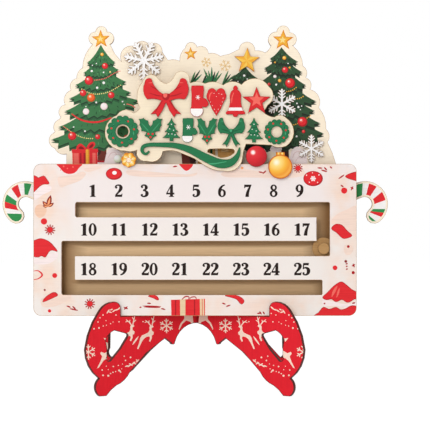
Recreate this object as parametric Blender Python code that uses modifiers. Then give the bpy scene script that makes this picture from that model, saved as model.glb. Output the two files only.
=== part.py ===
"""Countdown calendar of laser-cut plywood layers, held up by two crossed boards.

Metres, +Z up.  The front of the calendar faces -Y.  The origin is on the ground,
under the crossing of the two stand boards.

The calendar is a flat box: a front panel with one winding track, a frame of spacer
strips and two ribs, and a back panel.  A marker is caught in the track by its flange.
A scenery board, two candy canes and a cut-out sign are glued to the box.
"""
import math

import bpy

for old_object in list(bpy.data.objects):
    bpy.data.objects.remove(old_object, do_unlink=True)

# Sheet stock and gaps
PLY = 0.003               # every large board is cut from this sheet
TRIM_PLY = 0.002          # the small raised ornaments are cut from a thinner sheet
SPACER_PLY = 0.006        # strips and ribs between the front and the back panel
GAP = 0.0003              # glue line, or play between pieces that only touch

# Calendar box
PANEL_WIDTH = 0.252
PANEL_HEIGHT = 0.1185
PANEL_CORNER = 0.006
BOX_SETBACK = 0.0259      # middle of the box, in front of the stand's crossing

# Winding track in the front panel
TRACK_MARGIN_LEFT = 0.0223    # panel edge to the left end of rows two and three
TRACK_MARGIN_RIGHT = 0.021    # panel edge to the right end of rows one and two
ROW_HEIGHT = 0.0115
TOP_RAIL = 0.030              # panel above the first row
BOTTOM_RAIL = 0.0164          # panel below the last row
ROW_ONE_START = 0.0107        # the first row begins this much further right
ROW_THREE_STOP = 0.0058       # the third row ends this much further left
CHANNEL_WIDTH = 0.0098        # upright runs that join the rows
TRACK_CORNER = 0.001          # also the corners of strips, ribs and blocks

# Marker that slides in the track
FLANGE_DIAMETER = 0.017
FLANGE_THICKNESS = 0.0025
KNOB_DIAMETER = 0.0088
KNOB_PROUD = 0.003            # how far the knob stands in front of the panel
KNOB_ROUNDING = 0.0012
MARKER_PLAY = 0.0007          # flange to the strips and ribs around it
KNOB_END_PLAY = 0.0003        # knob to the end of a row

# Stand boards
STAND_YAW = math.radians(30)  # each board from the line of the panel
REST_HEIGHT = 0.0611          # notch floor above the ground
LIP_HEIGHT = 0.0115           # the front lobes rise this far above the notch floor
YOKE_RISE = 0.028             # the yoke rises this far behind the box
LOBE_WIDTH = 0.030            # lobe and leg beyond the notch, along the board
YOKE_CORNER = 0.005
NOTCH_PLAY = 0.0003

# Scenery board
SCENERY_MARGIN_LEFT = 0.0084  # its side to the side of the box
SCENERY_MARGIN_RIGHT = 0.0148
SCENERY_RISE = 0.1096         # above the top of the box
SCENERY_TAIL = 0.018          # glued behind the box

# Candy canes
CANE_BEND = 0.0118            # middle of the hook's band to the hook's centre
CANE_BAND = 0.0124
CANE_REACH = 0.008            # hook centre beyond the side of the box
CANE_DROP = 0.0312            # hook centre below the top of the box
CANE_SHAFT = 0.046            # straight part, mostly behind the box
CANE_TILT = math.radians(18)  # the shaft falls this much towards the middle

# Sign
SIGN_WIDTH = 0.1424
SIGN_HEIGHT = 0.0778
SIGN_LIFT = 0.0328            # middle of the sign above the top of the box
SIGN_OFFSET = 0.002
STANDOFF_WIDTH = 0.012
STANDOFF_HEIGHT = 0.008

# Raised trim on the scenery board and the front panel
SNOWFLAKE_LEFT_RADIUS = 0.0160
SNOWFLAKE_RIGHT_RADIUS = 0.0122
SNOWFLAKE_LOW_RADIUS = 0.0112
STAR_RADIUS = 0.0104
BAUBLE_RED_DIAMETER = 0.0164
BAUBLE_GOLD_DIAMETER = 0.0188
BAUBLE_PEARL_DIAMETER = 0.0064
FLOWER_DIAMETER = 0.0138

# Fineness of every arc
ARC_STEP = math.radians(14)

# Places that follow from the sizes above
BOX_DEPTH = PLY + GAP + SPACER_PLY + GAP + PLY
FRONT_Y = -(BOX_SETBACK + BOX_DEPTH / 2)      # front face of the front panel
BACK_Y = FRONT_Y + BOX_DEPTH                  # rear face of the back panel
PANEL_BOTTOM = REST_HEIGHT + GAP
PANEL_TOP = PANEL_BOTTOM + PANEL_HEIGHT
PANEL_MIDDLE = PANEL_BOTTOM + PANEL_HEIGHT / 2
STAND_HEIGHT = REST_HEIGHT + LIP_HEIGHT

FRONT_PANEL_Y = FRONT_Y + PLY / 2
SPACER_Y = FRONT_Y + PLY + GAP + SPACER_PLY / 2
BACK_PANEL_Y = BACK_Y - PLY / 2
SCENERY_Y = BACK_Y + GAP + PLY / 2            # scenery board and candy canes
SCENERY_FACE_Y = SCENERY_Y - PLY / 2
SIGN_Y = FRONT_Y - GAP - PLY / 2              # sign backing and front baubles
SIGN_FACE_Y = SIGN_Y - PLY / 2
SIGN_BACK_Y = SIGN_Y + PLY / 2
STANDOFF_DEPTH = SCENERY_FACE_Y - SIGN_BACK_Y - 2 * GAP
STANDOFF_Y = (SCENERY_FACE_Y + SIGN_BACK_Y) / 2

TRACK_LEFT = -PANEL_WIDTH / 2 + TRACK_MARGIN_LEFT
TRACK_RIGHT = PANEL_WIDTH / 2 - TRACK_MARGIN_RIGHT
ROWS = 3
BARS = ROWS - 1
BAR_HEIGHT = (PANEL_HEIGHT - TOP_RAIL - BOTTOM_RAIL - ROWS * ROW_HEIGHT) / BARS
ROW_PITCH = ROW_HEIGHT + BAR_HEIGHT
ROW_ONE_Z = PANEL_TOP - TOP_RAIL - ROW_HEIGHT / 2
ROW_TWO_Z = ROW_ONE_Z - ROW_PITCH
ROW_THREE_Z = ROW_TWO_Z - ROW_PITCH

SCENERY_WIDTH = PANEL_WIDTH - SCENERY_MARGIN_LEFT - SCENERY_MARGIN_RIGHT
SCENERY_OFFSET = (SCENERY_MARGIN_LEFT - SCENERY_MARGIN_RIGHT) / 2

CALENDAR = bpy.data.collections.new("countdown_calendar")
bpy.context.scene.collection.children.link(CALENDAR)


# Finishes

def linear(hex_colour):
    """Linear colour of an sRGB hex value such as #AABBCC."""
    channels = []
    for first in (1, 3, 5):
        value = int(hex_colour[first:first + 2], 16) / 255
        if value <= 0.04045:
            channels.append(value / 12.92)
        else:
            channels.append(((value + 0.055) / 1.055) ** 2.4)
    return (*channels, 1.0)


def finish(node_name, hex_colour, roughness):
    """A plain Principled material for one node."""
    material = bpy.data.materials.new(node_name + "_finish")
    material.use_nodes = True
    shader = material.node_tree.nodes["Principled BSDF"]
    shader.inputs["Base Color"].default_value = linear(hex_colour)
    shader.inputs["Roughness"].default_value = roughness
    shader.inputs["Metallic"].default_value = 0.0
    return material


PRINTED_PINK = ("#FBEBE6", 0.5)
PRINTED_CREAM = ("#F6E5CC", 0.55)
BARE_PLY = ("#D9BC8A", 0.7)
PRINTED_RED = ("#E5262C", 0.45)
PRINTED_GREEN = ("#238152", 0.45)
PRINTED_WHITE = ("#F4F2F0", 0.5)
PRINTED_GOLD = ("#F6A92B", 0.4)


# Outlines
# A corner is (x, z, bulge).  Its bulge is the height of the arc that ends there, as a
# share of the arc's chord: positive outwards on a loop that runs clockwise.

def arc(start, end, bulge):
    """Points after start, up to and with end."""
    if bulge == 0:
        return [end]
    run_x = end[0] - start[0]
    run_z = end[1] - start[1]
    chord = math.hypot(run_x, run_z)
    along = (run_x / chord, run_z / chord)
    out = (-along[1], along[0])
    rise = bulge * chord
    radius = (chord * chord / 4 + rise * rise) / (2 * rise)
    centre_x = (start[0] + end[0]) / 2 + out[0] * (rise - radius)
    centre_z = (start[1] + end[1]) / 2 + out[1] * (rise - radius)
    half_sweep = 2 * math.atan(2 * bulge)
    steps = max(2, math.ceil(2 * abs(half_sweep) / ARC_STEP))
    points = []
    for step in range(1, steps + 1):
        turn = half_sweep * (2 * step / steps - 1)
        side = math.cos(turn) * radius
        ahead = math.sin(turn) * radius
        x = centre_x + out[0] * side + along[0] * ahead
        z = centre_z + out[1] * side + along[1] * ahead
        points.append((x, z))
    return points


def trace(corners):
    """Closed loop of points through the corners."""
    points = []
    before = corners[-1]
    for corner in corners:
        points.extend(arc(before[:2], corner[:2], corner[2]))
        before = corner
    return points


def sized(shares, width, height):
    """Corners in shares, at a real width and height."""
    return [(x * width, z * height, bulge) for x, z, bulge in shares]


def mirrored(corners):
    """The same run of corners on the other side, walked back."""
    result = []
    bulge = 0.0
    for corner in reversed(corners):
        result.append((-corner[0], corner[1], bulge))
        bulge = corner[2]
    return result


def both_sides(corners):
    """Closed loop from a right half that runs from the top to the bottom of its axis."""
    top = (*corners[0][:2], corners[1][2])
    return trace([top] + corners[1:] + mirrored(corners)[1:-1])


CORNER_LIMIT_SHARE = 0.45     # of a strip's width


def rounded_box(left, right, bottom, top, radius):
    """Rectangle with round corners, clockwise.  A thin strip limits its corner radius."""
    quarter = (math.sqrt(2) - 1) / 2
    radius = min(radius, (right - left) * CORNER_LIMIT_SHARE, (top - bottom) * CORNER_LIMIT_SHARE)
    corners = [
        (left, bottom + radius, quarter),
        (left, top - radius, 0.0),
        (left + radius, top, quarter),
        (right - radius, top, 0.0),
        (right, top - radius, quarter),
        (right, bottom + radius, 0.0),
        (right - radius, bottom, quarter),
        (left + radius, bottom, 0.0),
    ]
    return trace(corners)


def circle(radius, x=0.0, z=0.0):
    """Full circle as two arcs."""
    half = 0.5
    return trace([(x - radius, z, half), (x + radius, z, half)])


def star(radius, points=5, waist_share=0.42, turn=0.0):
    """Straight-sided star with one point up."""
    loop = []
    for corner in range(2 * points):
        reach = radius if corner % 2 == 0 else radius * waist_share
        angle = math.pi / 2 + turn - corner * math.pi / points
        loop.append((reach * math.cos(angle), reach * math.sin(angle)))
    return loop


def petals(radius, count, waist_share, bulge_share):
    """Ring of round petals."""
    corners = []
    for petal in range(count):
        angle = math.pi / 2 - petal * 2 * math.pi / count
        x = radius * waist_share * math.cos(angle)
        z = radius * waist_share * math.sin(angle)
        corners.append((x, z, bulge_share))
    return trace(corners)


# Twigs of a snowflake arm: where each leaves the arm and how long it is
TWIG_PLACE_SHARES = (0.34, 0.54, 0.74)
TWIG_LENGTH_SHARES = (0.26, 0.28, 0.20)
ARM_HALF_SHARE = 0.075
TWIG_HALF_SHARE = 0.046
TWIG_ROOM_SHARE = 0.02        # least room between the twigs of two neighbouring arms
TWIG_LEAN = math.radians(50)
TIP_SHARES = (-1.0, -0.5, 0.0, 0.5, 1.0)


def snowflake(radius, arms):
    """Snowflake with three pairs of twigs on every arm, the first arm down, as one loop."""
    half = radius * ARM_HALF_SHARE
    twig_half = radius * TWIG_HALF_SHARE
    lean_x = math.cos(TWIG_LEAN)
    lean_z = math.sin(TWIG_LEAN)
    spread = math.pi / arms
    side = [(half / math.tan(spread), half)]
    for place_share, length_share in zip(TWIG_PLACE_SHARES, TWIG_LENGTH_SHARES):
        place = radius * place_share
        room = place * math.tan(spread) - twig_half - radius * TWIG_ROOM_SHARE
        length = min(radius * length_share, room / (lean_z - lean_x * math.tan(spread)))
        near = (half - lean_x * twig_half) / lean_z
        side.append((place - lean_z * twig_half + lean_x * near, half))
        for tip_share in TIP_SHARES:
            angle = TWIG_LEAN - tip_share * math.pi / 2
            x = place + length * lean_x + twig_half * math.cos(angle)
            z = length * lean_z + twig_half * math.sin(angle)
            side.append((x, z))
        far = (half + lean_x * twig_half) / lean_z
        side.append((place + lean_z * twig_half + lean_x * far, half))
    for tip_share in TIP_SHARES[:3]:
        angle = -tip_share * math.pi / 2
        side.append((radius - half + half * math.cos(angle), half * math.sin(angle)))
    other_side = [(x, -z) for x, z in reversed(side[1:-1])]
    loop = []
    for arm in range(arms):
        turn = -math.pi / 2 - arm * 2 * spread
        for x, z in side + other_side:
            turned_x = x * math.cos(turn) - z * math.sin(turn)
            turned_z = x * math.sin(turn) + z * math.cos(turn)
            loop.append((turned_x, turned_z))
    return loop


def band(path, half_widths):
    """Outline of a flat band that follows a path, with a half width at every point."""
    left = []
    right = []
    last = len(path) - 1
    for index, (x, z) in enumerate(path):
        before = path[max(index - 1, 0)]
        after = path[min(index + 1, last)]
        run_x = after[0] - before[0]
        run_z = after[1] - before[1]
        length = math.hypot(run_x, run_z)
        half = half_widths[index]
        left.append((x - run_z / length * half, z + run_x / length * half))
        right.append((x + run_z / length * half, z - run_x / length * half))
    return left + list(reversed(right))


def smooth(values, steps):
    """Points of a soft curve through the rows of values, steps to each span."""
    rows = [values[0], *values, values[-1]]
    result = []
    for index in range(1, len(rows) - 2):
        around = rows[index - 1:index + 3]
        for step in range(steps):
            t = step / steps
            row = []
            for a, b, c, d in zip(*around):
                cubic = 3 * b - a - 3 * c + d
                square = 2 * a - 5 * b + 4 * c - d
                row.append((2 * b + (c - a) * t + square * t * t + cubic * t ** 3) / 2)
            result.append(tuple(row))
    result.append(tuple(values[-1]))
    return result


# Plates

def plate(node_name, loops, thickness, place, look, yaw=0.0):
    """One upright board.  The first loop is its edge and the others are holes in it."""
    curve = bpy.data.curves.new(node_name, "CURVE")
    curve.dimensions = "2D"
    curve.fill_mode = "BOTH"
    curve.extrude = thickness / 2
    for loop in loops:
        spline = curve.splines.new("POLY")
        spline.points.add(len(loop) - 1)
        for point, (x, z) in zip(spline.points, loop):
            point.co = (x, z, 0.0, 1.0)
        spline.use_cyclic_u = True
    board = bpy.data.objects.new(node_name, curve)
    board.location = place
    board.rotation_euler = (math.pi / 2, 0.0, yaw)
    curve.materials.append(finish(node_name, *look))
    CALENDAR.objects.link(board)
    return board


# Calendar box

def track_loop():
    """The winding track: three rows joined by two upright channels."""
    top_one = ROW_ONE_Z + ROW_HEIGHT / 2 - PANEL_MIDDLE
    low_one = top_one - ROW_HEIGHT
    top_two = top_one - ROW_PITCH
    low_two = top_two - ROW_HEIGHT
    top_three = top_two - ROW_PITCH
    low_three = top_three - ROW_HEIGHT
    first = TRACK_LEFT + ROW_ONE_START
    last = TRACK_RIGHT - ROW_THREE_STOP
    right_channel = TRACK_RIGHT - CHANNEL_WIDTH
    left_channel = TRACK_LEFT + CHANNEL_WIDTH
    turns = [
        (first, low_one), (first, top_one), (TRACK_RIGHT, top_one), (TRACK_RIGHT, low_two),
        (left_channel, low_two), (left_channel, top_three), (last, top_three), (last, low_three),
        (TRACK_LEFT, low_three), (TRACK_LEFT, top_two), (right_channel, top_two),
        (right_channel, low_one),
    ]
    corners = []
    for index, turn in enumerate(turns):
        before = turns[index - 1]
        after = turns[(index + 1) % len(turns)]
        entry = step_towards(turn, before, TRACK_CORNER)
        leave = step_towards(turn, after, TRACK_CORNER)
        cross = (turn[0] - before[0]) * (after[1] - turn[1])
        cross -= (turn[1] - before[1]) * (after[0] - turn[0])
        bulge = math.copysign((math.sqrt(2) - 1) / 2, -cross)
        corners.append((*entry, 0.0))
        corners.append((*leave, bulge))
    return trace(corners)


def step_towards(start, goal, distance):
    """Point that lies a distance from start, on the way to goal."""
    run_x = goal[0] - start[0]
    run_z = goal[1] - start[1]
    length = math.hypot(run_x, run_z)
    return (start[0] + run_x / length * distance, start[1] + run_z / length * distance)


def make_box():
    """Front panel, spacer strips, ribs behind the number bars, and back panel."""
    half_width = PANEL_WIDTH / 2
    half_height = PANEL_HEIGHT / 2
    edge = rounded_box(-half_width, half_width, -half_height, half_height, PANEL_CORNER)
    front_place = (0.0, FRONT_PANEL_Y, PANEL_MIDDLE)
    plate("front_panel", [edge, track_loop()], PLY, front_place, PRINTED_PINK)
    plate("back_panel", [edge], PLY, (0.0, BACK_PANEL_Y, PANEL_MIDDLE), BARE_PLY)

    knob_reach = KNOB_DIAMETER / 2 + KNOB_END_PLAY
    flange_reach = FLANGE_DIAMETER / 2 + MARKER_PLAY
    strip_left = TRACK_LEFT + knob_reach - flange_reach
    strip_right = TRACK_RIGHT - knob_reach + flange_reach
    strip_top = ROW_ONE_Z + flange_reach
    strip_bottom = ROW_THREE_Z - flange_reach
    upright_top = strip_top - GAP
    upright_bottom = strip_bottom + GAP
    strips = {
        "spacer_top": (-half_width, half_width, strip_top, PANEL_TOP, PANEL_CORNER),
        "spacer_bottom": (-half_width, half_width, PANEL_BOTTOM, strip_bottom, PANEL_CORNER),
        "spacer_left": (-half_width, strip_left, upright_bottom, upright_top, TRACK_CORNER),
        "spacer_right": (strip_right, half_width, upright_bottom, upright_top, TRACK_CORNER),
    }
    for strip_name, strip in strips.items():
        plate(strip_name, [rounded_box(*strip)], SPACER_PLY, (0.0, SPACER_Y, 0.0), BARE_PLY)

    # Each rib is a little narrower than its bar, so that the flange passes behind it.
    rib_half = (ROW_PITCH - 2 * flange_reach) / 2
    channel_middle_left = TRACK_LEFT + knob_reach
    channel_middle_right = TRACK_RIGHT - knob_reach
    upper_z = (ROW_ONE_Z + ROW_TWO_Z) / 2
    lower_z = (ROW_TWO_Z + ROW_THREE_Z) / 2
    upper_end = channel_middle_right - flange_reach
    lower_end = channel_middle_left + flange_reach
    ribs = {
        "rib_upper": (strip_left + GAP, upper_end, upper_z - rib_half, upper_z + rib_half),
        "rib_lower": (lower_end, strip_right - GAP, lower_z - rib_half, lower_z + rib_half),
    }
    for rib_name, rib in ribs.items():
        loop = rounded_box(*rib, TRACK_CORNER)
        plate(rib_name, [loop], SPACER_PLY, (0.0, SPACER_Y, 0.0), BARE_PLY)


AXIS_MERGE = 0.00001          # joins the points on the axis of a turned piece
TURNED_STEPS = 32


def turned_piece(node_name, profile, place, look):
    """A turned piece whose axis runs back to front."""
    mesh = bpy.data.meshes.new(node_name)
    edges = [(index, index + 1) for index in range(len(profile) - 1)]
    mesh.from_pydata([(radius, 0.0, height) for radius, height in profile], edges, [])
    piece = bpy.data.objects.new(node_name, mesh)
    CALENDAR.objects.link(piece)
    turning = piece.modifiers.new("turning", "SCREW")
    turning.axis = "Z"
    turning.steps = TURNED_STEPS
    turning.render_steps = TURNED_STEPS
    turning.use_merge_vertices = True
    turning.merge_threshold = AXIS_MERGE
    turning.use_smooth_shade = True
    piece.location = place
    piece.rotation_euler = (math.pi / 2, 0.0, 0.0)
    mesh.materials.append(finish(node_name, *look))
    return piece


def make_marker():
    """The day marker: a flange behind the front panel and a knob through the track."""
    rest_x = TRACK_RIGHT - KNOB_DIAMETER / 2 - KNOB_END_PLAY
    flange_half = FLANGE_THICKNESS / 2
    flange_radius = FLANGE_DIAMETER / 2
    flange_profile = [
        (0.0, flange_half), (flange_radius, flange_half),
        (flange_radius, -flange_half), (0.0, -flange_half),
    ]
    flange_y = FRONT_Y + PLY + GAP + flange_half
    flange_place = (rest_x, flange_y, ROW_TWO_Z)
    turned_piece("marker_flange", flange_profile, flange_place, BARE_PLY)

    knob_radius = KNOB_DIAMETER / 2
    knob_back_y = FRONT_Y + PLY
    knob_length = PLY + KNOB_PROUD
    knob_profile = [(0.0, knob_length)]
    quarter_steps = 5
    for step in range(quarter_steps + 1):
        angle = math.pi / 2 * (1 - step / quarter_steps)
        radius = knob_radius - KNOB_ROUNDING + KNOB_ROUNDING * math.cos(angle)
        height = knob_length - KNOB_ROUNDING + KNOB_ROUNDING * math.sin(angle)
        knob_profile.append((radius, height))
    knob_profile.append((knob_radius, 0.0))
    knob_profile.append((0.0, 0.0))
    knob_place = (rest_x, knob_back_y, ROW_TWO_Z)
    turned_piece("marker_knob", knob_profile, knob_place, BARE_PLY)


# Stand
# Shares of the run from the crossing to the notch's outer wall, and of the stand height
BAY_SHARES = [
    (0.88, 0.24, 0.10),
    (0.42, 0.585, -0.05),
    (0.34, 0.53, 0.0),
    (0.29, 0.535, 0.45),
]
REAR_BAY_SHARES = [
    (0.86, 0.205, 0.10),
    (0.42, 0.57, -0.02),
    (0.34, 0.53, 0.0),
    (0.29, 0.535, 0.45),
]
ARCH_TOP_SHARE = 0.735
ARCH_BULGE_SHARE = -0.15

# Shares of the lobe width beyond the notch, and of the stand height
LOBE_SHARES = [
    (0.20, 1.0, 0.22),
    (0.58, 0.92, 0.12),
    (1.0, 0.50, 0.07),
    (0.61, 0.19, 0.12),
    (0.60, 0.0, 0.25),
    (0.41, 0.0, 0.0),
    (0.12, 0.105, -0.05),
]
LOBE_INNER_SHARE = 0.93

# Leaf-shaped hole in each leg, in the same shares as the lobe
HOLE_SHARES = [
    (-0.21, 0.625, 0.04),
    (-0.16, 0.655, 0.25),
    (0.18, 0.695, 0.0),
    (0.43, 0.60, 0.10),
    (0.39, 0.42, -0.04),
    (0.28, 0.375, 0.45),
]
REAR_HOLE_SHARES = [
    (-0.25, 0.57, 0.0),
    (-0.20, 0.64, 0.20),
    (0.18, 0.71, 0.0),
    (0.52, 0.60, 0.08),
    (0.53, 0.40, 0.0),
    (0.42, 0.30, 0.35),
]
SADDLE_BULGE_SHARE = -0.12


def beyond_notch(shares, notch_outer):
    """Corners of a lobe or leg hole, from the notch's outer wall outwards."""
    corners = []
    for reach_share, height_share, bulge in shares:
        reach = notch_outer + reach_share * LOBE_WIDTH
        corners.append((reach, height_share * STAND_HEIGHT, bulge))
    return corners


def stand_loops(slot_at_top):
    """Edge and two leg holes of one stand board, in its own plane."""
    facing = math.sin(STAND_YAW)
    spread = PLY / 2 * math.cos(STAND_YAW) / facing
    notch_inner = (-BACK_Y - NOTCH_PLAY) / facing - spread
    notch_outer = (-FRONT_Y + NOTCH_PLAY) / facing + spread
    crossing_angle = 2 * STAND_YAW
    slot = PLY / math.sin(crossing_angle) + PLY / math.tan(crossing_angle) + 2 * GAP
    yoke_top = REST_HEIGHT + YOKE_RISE
    arch_top = ARCH_TOP_SHARE * STAND_HEIGHT
    slot_middle = (yoke_top + arch_top) / 2

    # Only the front arm has the notch.  Behind, the edge runs in one curve to the lobe.
    lobe = beyond_notch(LOBE_SHARES, notch_outer)
    bay = sized(BAY_SHARES, notch_outer, STAND_HEIGHT)
    rear_bay = sized(REAR_BAY_SHARES, notch_outer, STAND_HEIGHT)
    arch = [(slot / 2, arch_top, ARCH_BULGE_SHARE)]
    yoke_end = notch_inner - YOKE_CORNER
    corner_bulge = (math.sqrt(2) - 1) / 2
    edge = [
        (slot / 2, yoke_top, 0.0),
        (yoke_end, yoke_top, 0.0),
        (notch_inner, yoke_top - YOKE_CORNER, corner_bulge),
        (notch_inner, REST_HEIGHT, 0.0),
        (notch_outer, REST_HEIGHT, 0.0),
        (notch_outer, LOBE_INNER_SHARE * STAND_HEIGHT, 0.0),
    ]
    edge += lobe + bay + arch
    if not slot_at_top:
        edge.append((slot / 2, slot_middle + GAP, 0.0))
        edge.append((-slot / 2, slot_middle + GAP, 0.0))
    edge += mirrored(lobe + rear_bay + arch)
    edge.append((-notch_inner, yoke_top - YOKE_CORNER, SADDLE_BULGE_SHARE))
    edge.append((-yoke_end, yoke_top, corner_bulge))
    if slot_at_top:
        edge.append((-slot / 2, yoke_top, 0.0))
        edge.append((-slot / 2, slot_middle, 0.0))
        edge.append((slot / 2, slot_middle, 0.0))

    hole = beyond_notch(HOLE_SHARES, notch_outer)
    rear_hole = mirrored(beyond_notch(REAR_HOLE_SHARES, notch_outer))
    return [trace(edge), trace(hole), trace(rear_hole)]


def make_stand():
    """Two boards that slot into each other and cross under the box."""
    left_yaw = math.pi + STAND_YAW
    plate("stand_board_left", stand_loops(True), PLY, (0.0, 0.0, 0.0), PRINTED_RED, left_yaw)
    plate("stand_board_right", stand_loops(False), PLY, (0.0, 0.0, 0.0), PRINTED_RED, -STAND_YAW)


# Scenery board
# Shares of its width from its middle, and of its rise above the box
SCENERY_SHARES = [
    (-0.43, 0.075, 0.0),
    (-0.47, 0.115, 0.20),
    (-0.48, 0.22, 0.30),
    (-0.47, 0.235, 0.0),
    (-0.455, 0.325, 0.25),
    (-0.45, 0.34, 0.0),
    (-0.435, 0.43, 0.30),
    (-0.415, 0.535, 0.22),
    (-0.395, 0.62, 0.25),
    (-0.375, 0.695, 0.15),
    (-0.34, 0.865, 0.10),
    (-0.33, 0.955, 0.42),
    (-0.29, 0.955, 0.48),
    (-0.28, 0.865, 0.42),
    (-0.24, 0.74, -0.06),
    (-0.195, 0.85, 0.34),
    (-0.145, 0.86, 0.32),
    (-0.10, 0.81, 0.35),
    (-0.08, 0.75, 0.0),
    (-0.04, 0.745, 0.10),
    (-0.02, 0.84, 0.12),
    (0.02, 0.845, 0.45),
    (0.06, 0.80, 0.28),
    (0.10, 0.78, 0.12),
    (0.165, 0.83, -0.06),
    (0.22, 0.82, 0.50),
    (0.255, 0.805, 0.08),
    (0.275, 0.855, -0.10),
    (0.295, 0.955, 0.36),
    (0.34, 0.95, 0.50),
    (0.35, 0.855, 0.40),
    (0.385, 0.71, 0.12),
    (0.395, 0.625, 0.22),
    (0.41, 0.54, 0.25),
    (0.44, 0.41, 0.24),
    (0.465, 0.255, 0.10),
    (0.47, 0.16, 0.20),
    (0.50, 0.0, 0.03),
]


def make_scenery():
    """Scenery board, which rises behind the box."""
    corners = sized(SCENERY_SHARES, SCENERY_WIDTH, SCENERY_RISE)
    corners.append((corners[-1][0], -SCENERY_TAIL, 0.0))
    corners.append((corners[0][0], -SCENERY_TAIL, 0.0))
    place = (SCENERY_OFFSET, SCENERY_Y, PANEL_TOP)
    plate("scenery_board", [trace(corners)], PLY, place, PRINTED_CREAM)


# Places of the raised trim, in shares of the scenery's width and rise
SNOWFLAKE_LEFT_SHARES = (-0.163, 0.745)
SNOWFLAKE_RIGHT_SHARES = (0.3125, 0.433)
SNOWFLAKE_LOW_SHARES = (0.414, 0.113)
STAR_SHARES = (0.192, 0.744)
PEARL_SHARES = (-0.253, 0.040)
LEFT_SNOWFLAKE_ARMS = 7
SNOWFLAKE_ARMS = 6
STAR_TURN = math.radians(-2)


def on_scenery(place_shares, thickness):
    """Place of a raised piece that is glued to the scenery board's face."""
    x = SCENERY_OFFSET + place_shares[0] * SCENERY_WIDTH
    z = PANEL_TOP + place_shares[1] * SCENERY_RISE
    return (x, SCENERY_FACE_Y - GAP - thickness / 2, z)


def make_scenery_trim():
    """Snowflakes, the raised star and the small pearl bauble."""
    flakes = {
        "snowflake_left": (SNOWFLAKE_LEFT_RADIUS, LEFT_SNOWFLAKE_ARMS, SNOWFLAKE_LEFT_SHARES),
        "snowflake_right": (SNOWFLAKE_RIGHT_RADIUS, SNOWFLAKE_ARMS, SNOWFLAKE_RIGHT_SHARES),
        "snowflake_low": (SNOWFLAKE_LOW_RADIUS, SNOWFLAKE_ARMS, SNOWFLAKE_LOW_SHARES),
    }
    for flake_name, (radius, arms, place_shares) in flakes.items():
        place = on_scenery(place_shares, TRIM_PLY)
        plate(flake_name, [snowflake(radius, arms)], TRIM_PLY, place, PRINTED_WHITE)
    star_place = on_scenery(STAR_SHARES, TRIM_PLY)
    star_loop = star(STAR_RADIUS, turn=STAR_TURN)
    plate("star_raised", [star_loop], TRIM_PLY, star_place, PRINTED_GOLD)
    pearl_place = on_scenery(PEARL_SHARES, TRIM_PLY)
    pearl_loop = circle(BAUBLE_PEARL_DIAMETER / 2)
    plate("bauble_pearl", [pearl_loop], TRIM_PLY, pearl_place, PRINTED_WHITE)


# Candy canes

CANE_TIP_ANGLE = math.radians(160)   # the hook turns this far from its top
CANE_TIP_STEPS = 6
CANE_HOOK_STEPS = 22


def cane_loop(side):
    """Outline of a cane whose hook is on the given side: -1 left, 1 right."""
    start_angle = CANE_TILT
    sweep = CANE_TIP_ANGLE
    outer = CANE_BEND + CANE_BAND / 2
    inner = CANE_BEND - CANE_BAND / 2
    far_x = math.sin(start_angle) - CANE_SHAFT / CANE_BEND * math.cos(start_angle)
    far_z = math.cos(start_angle) + CANE_SHAFT / CANE_BEND * math.sin(start_angle)
    end = (-far_x * CANE_BEND, 2 * math.cos(start_angle) * CANE_BEND - far_z * CANE_BEND)
    across = (math.sin(start_angle) * CANE_BAND / 2, math.cos(start_angle) * CANE_BAND / 2)
    loop = [(end[0] + across[0], end[1] + across[1])]
    for step in range(CANE_HOOK_STEPS + 1):
        angle = start_angle - sweep * step / CANE_HOOK_STEPS
        loop.append((outer * math.sin(angle), outer * math.cos(angle)))
    tip_angle = start_angle - sweep
    tip = (CANE_BEND * math.sin(tip_angle), CANE_BEND * math.cos(tip_angle))
    for step in range(1, CANE_TIP_STEPS):
        angle = tip_angle - math.pi * step / CANE_TIP_STEPS
        reach = CANE_BAND / 2
        loop.append((tip[0] + reach * math.sin(angle), tip[1] + reach * math.cos(angle)))
    for step in range(CANE_HOOK_STEPS, -1, -1):
        angle = start_angle - sweep * step / CANE_HOOK_STEPS
        loop.append((inner * math.sin(angle), inner * math.cos(angle)))
    loop.append((end[0] - across[0], end[1] - across[1]))
    return [(x * -side, z) for x, z in loop]


def make_canes():
    """Candy canes that hook out at the sides, glued behind the box."""
    for cane_name, side in (("candy_cane_left", -1), ("candy_cane_right", 1)):
        x = side * (PANEL_WIDTH / 2 + CANE_REACH)
        place = (x, SCENERY_Y, PANEL_TOP - CANE_DROP)
        plate(cane_name, [cane_loop(side)], PLY, place, PRINTED_RED)


# Sign
# Its backing, in shares of the sign's width and height from its middle
BACKING_SHARES = [
    (-0.465, -0.255, 0.08),
    (-0.44, 0.065, 0.30),
    (-0.35, 0.085, 0.25),
    (-0.315, 0.135, -0.08),
    (-0.30, 0.40, 0.16),
    (-0.215, 0.43, 0.34),
    (-0.17, 0.38, -0.10),
    (-0.13, 0.44, -0.08),
    (-0.045, 0.445, 0.40),
    (-0.04, 0.385, 0.0),
    (0.04, 0.38, 0.12),
    (0.14, 0.365, 0.14),
    (0.24, 0.37, 0.18),
    (0.39, 0.35, 0.26),
    (0.385, 0.165, 0.26),
    (0.36, 0.095, 0.0),
    (0.42, 0.045, -0.10),
    (0.485, 0.035, 0.20),
    (0.485, -0.245, 0.27),
    (0.40, -0.235, 0.12),
    (0.265, -0.225, 0.0),
    (0.245, -0.375, -0.05),
    (0.145, -0.495, 0.22),
    (0.04, -0.44, 0.08),
    (-0.085, -0.32, -0.05),
    (-0.19, -0.30, -0.10),
    (-0.275, -0.395, 0.26),
    (-0.33, -0.285, 0.30),
    (-0.39, -0.295, 0.10),
]
BAY_HOLE_SHARES = [
    (0.055, -0.305, 0.0),
    (0.065, -0.275, 0.20),
    (0.19, -0.275, 0.02),
    (0.20, -0.315, 0.25),
    (0.125, -0.36, 0.10),
]

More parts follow.
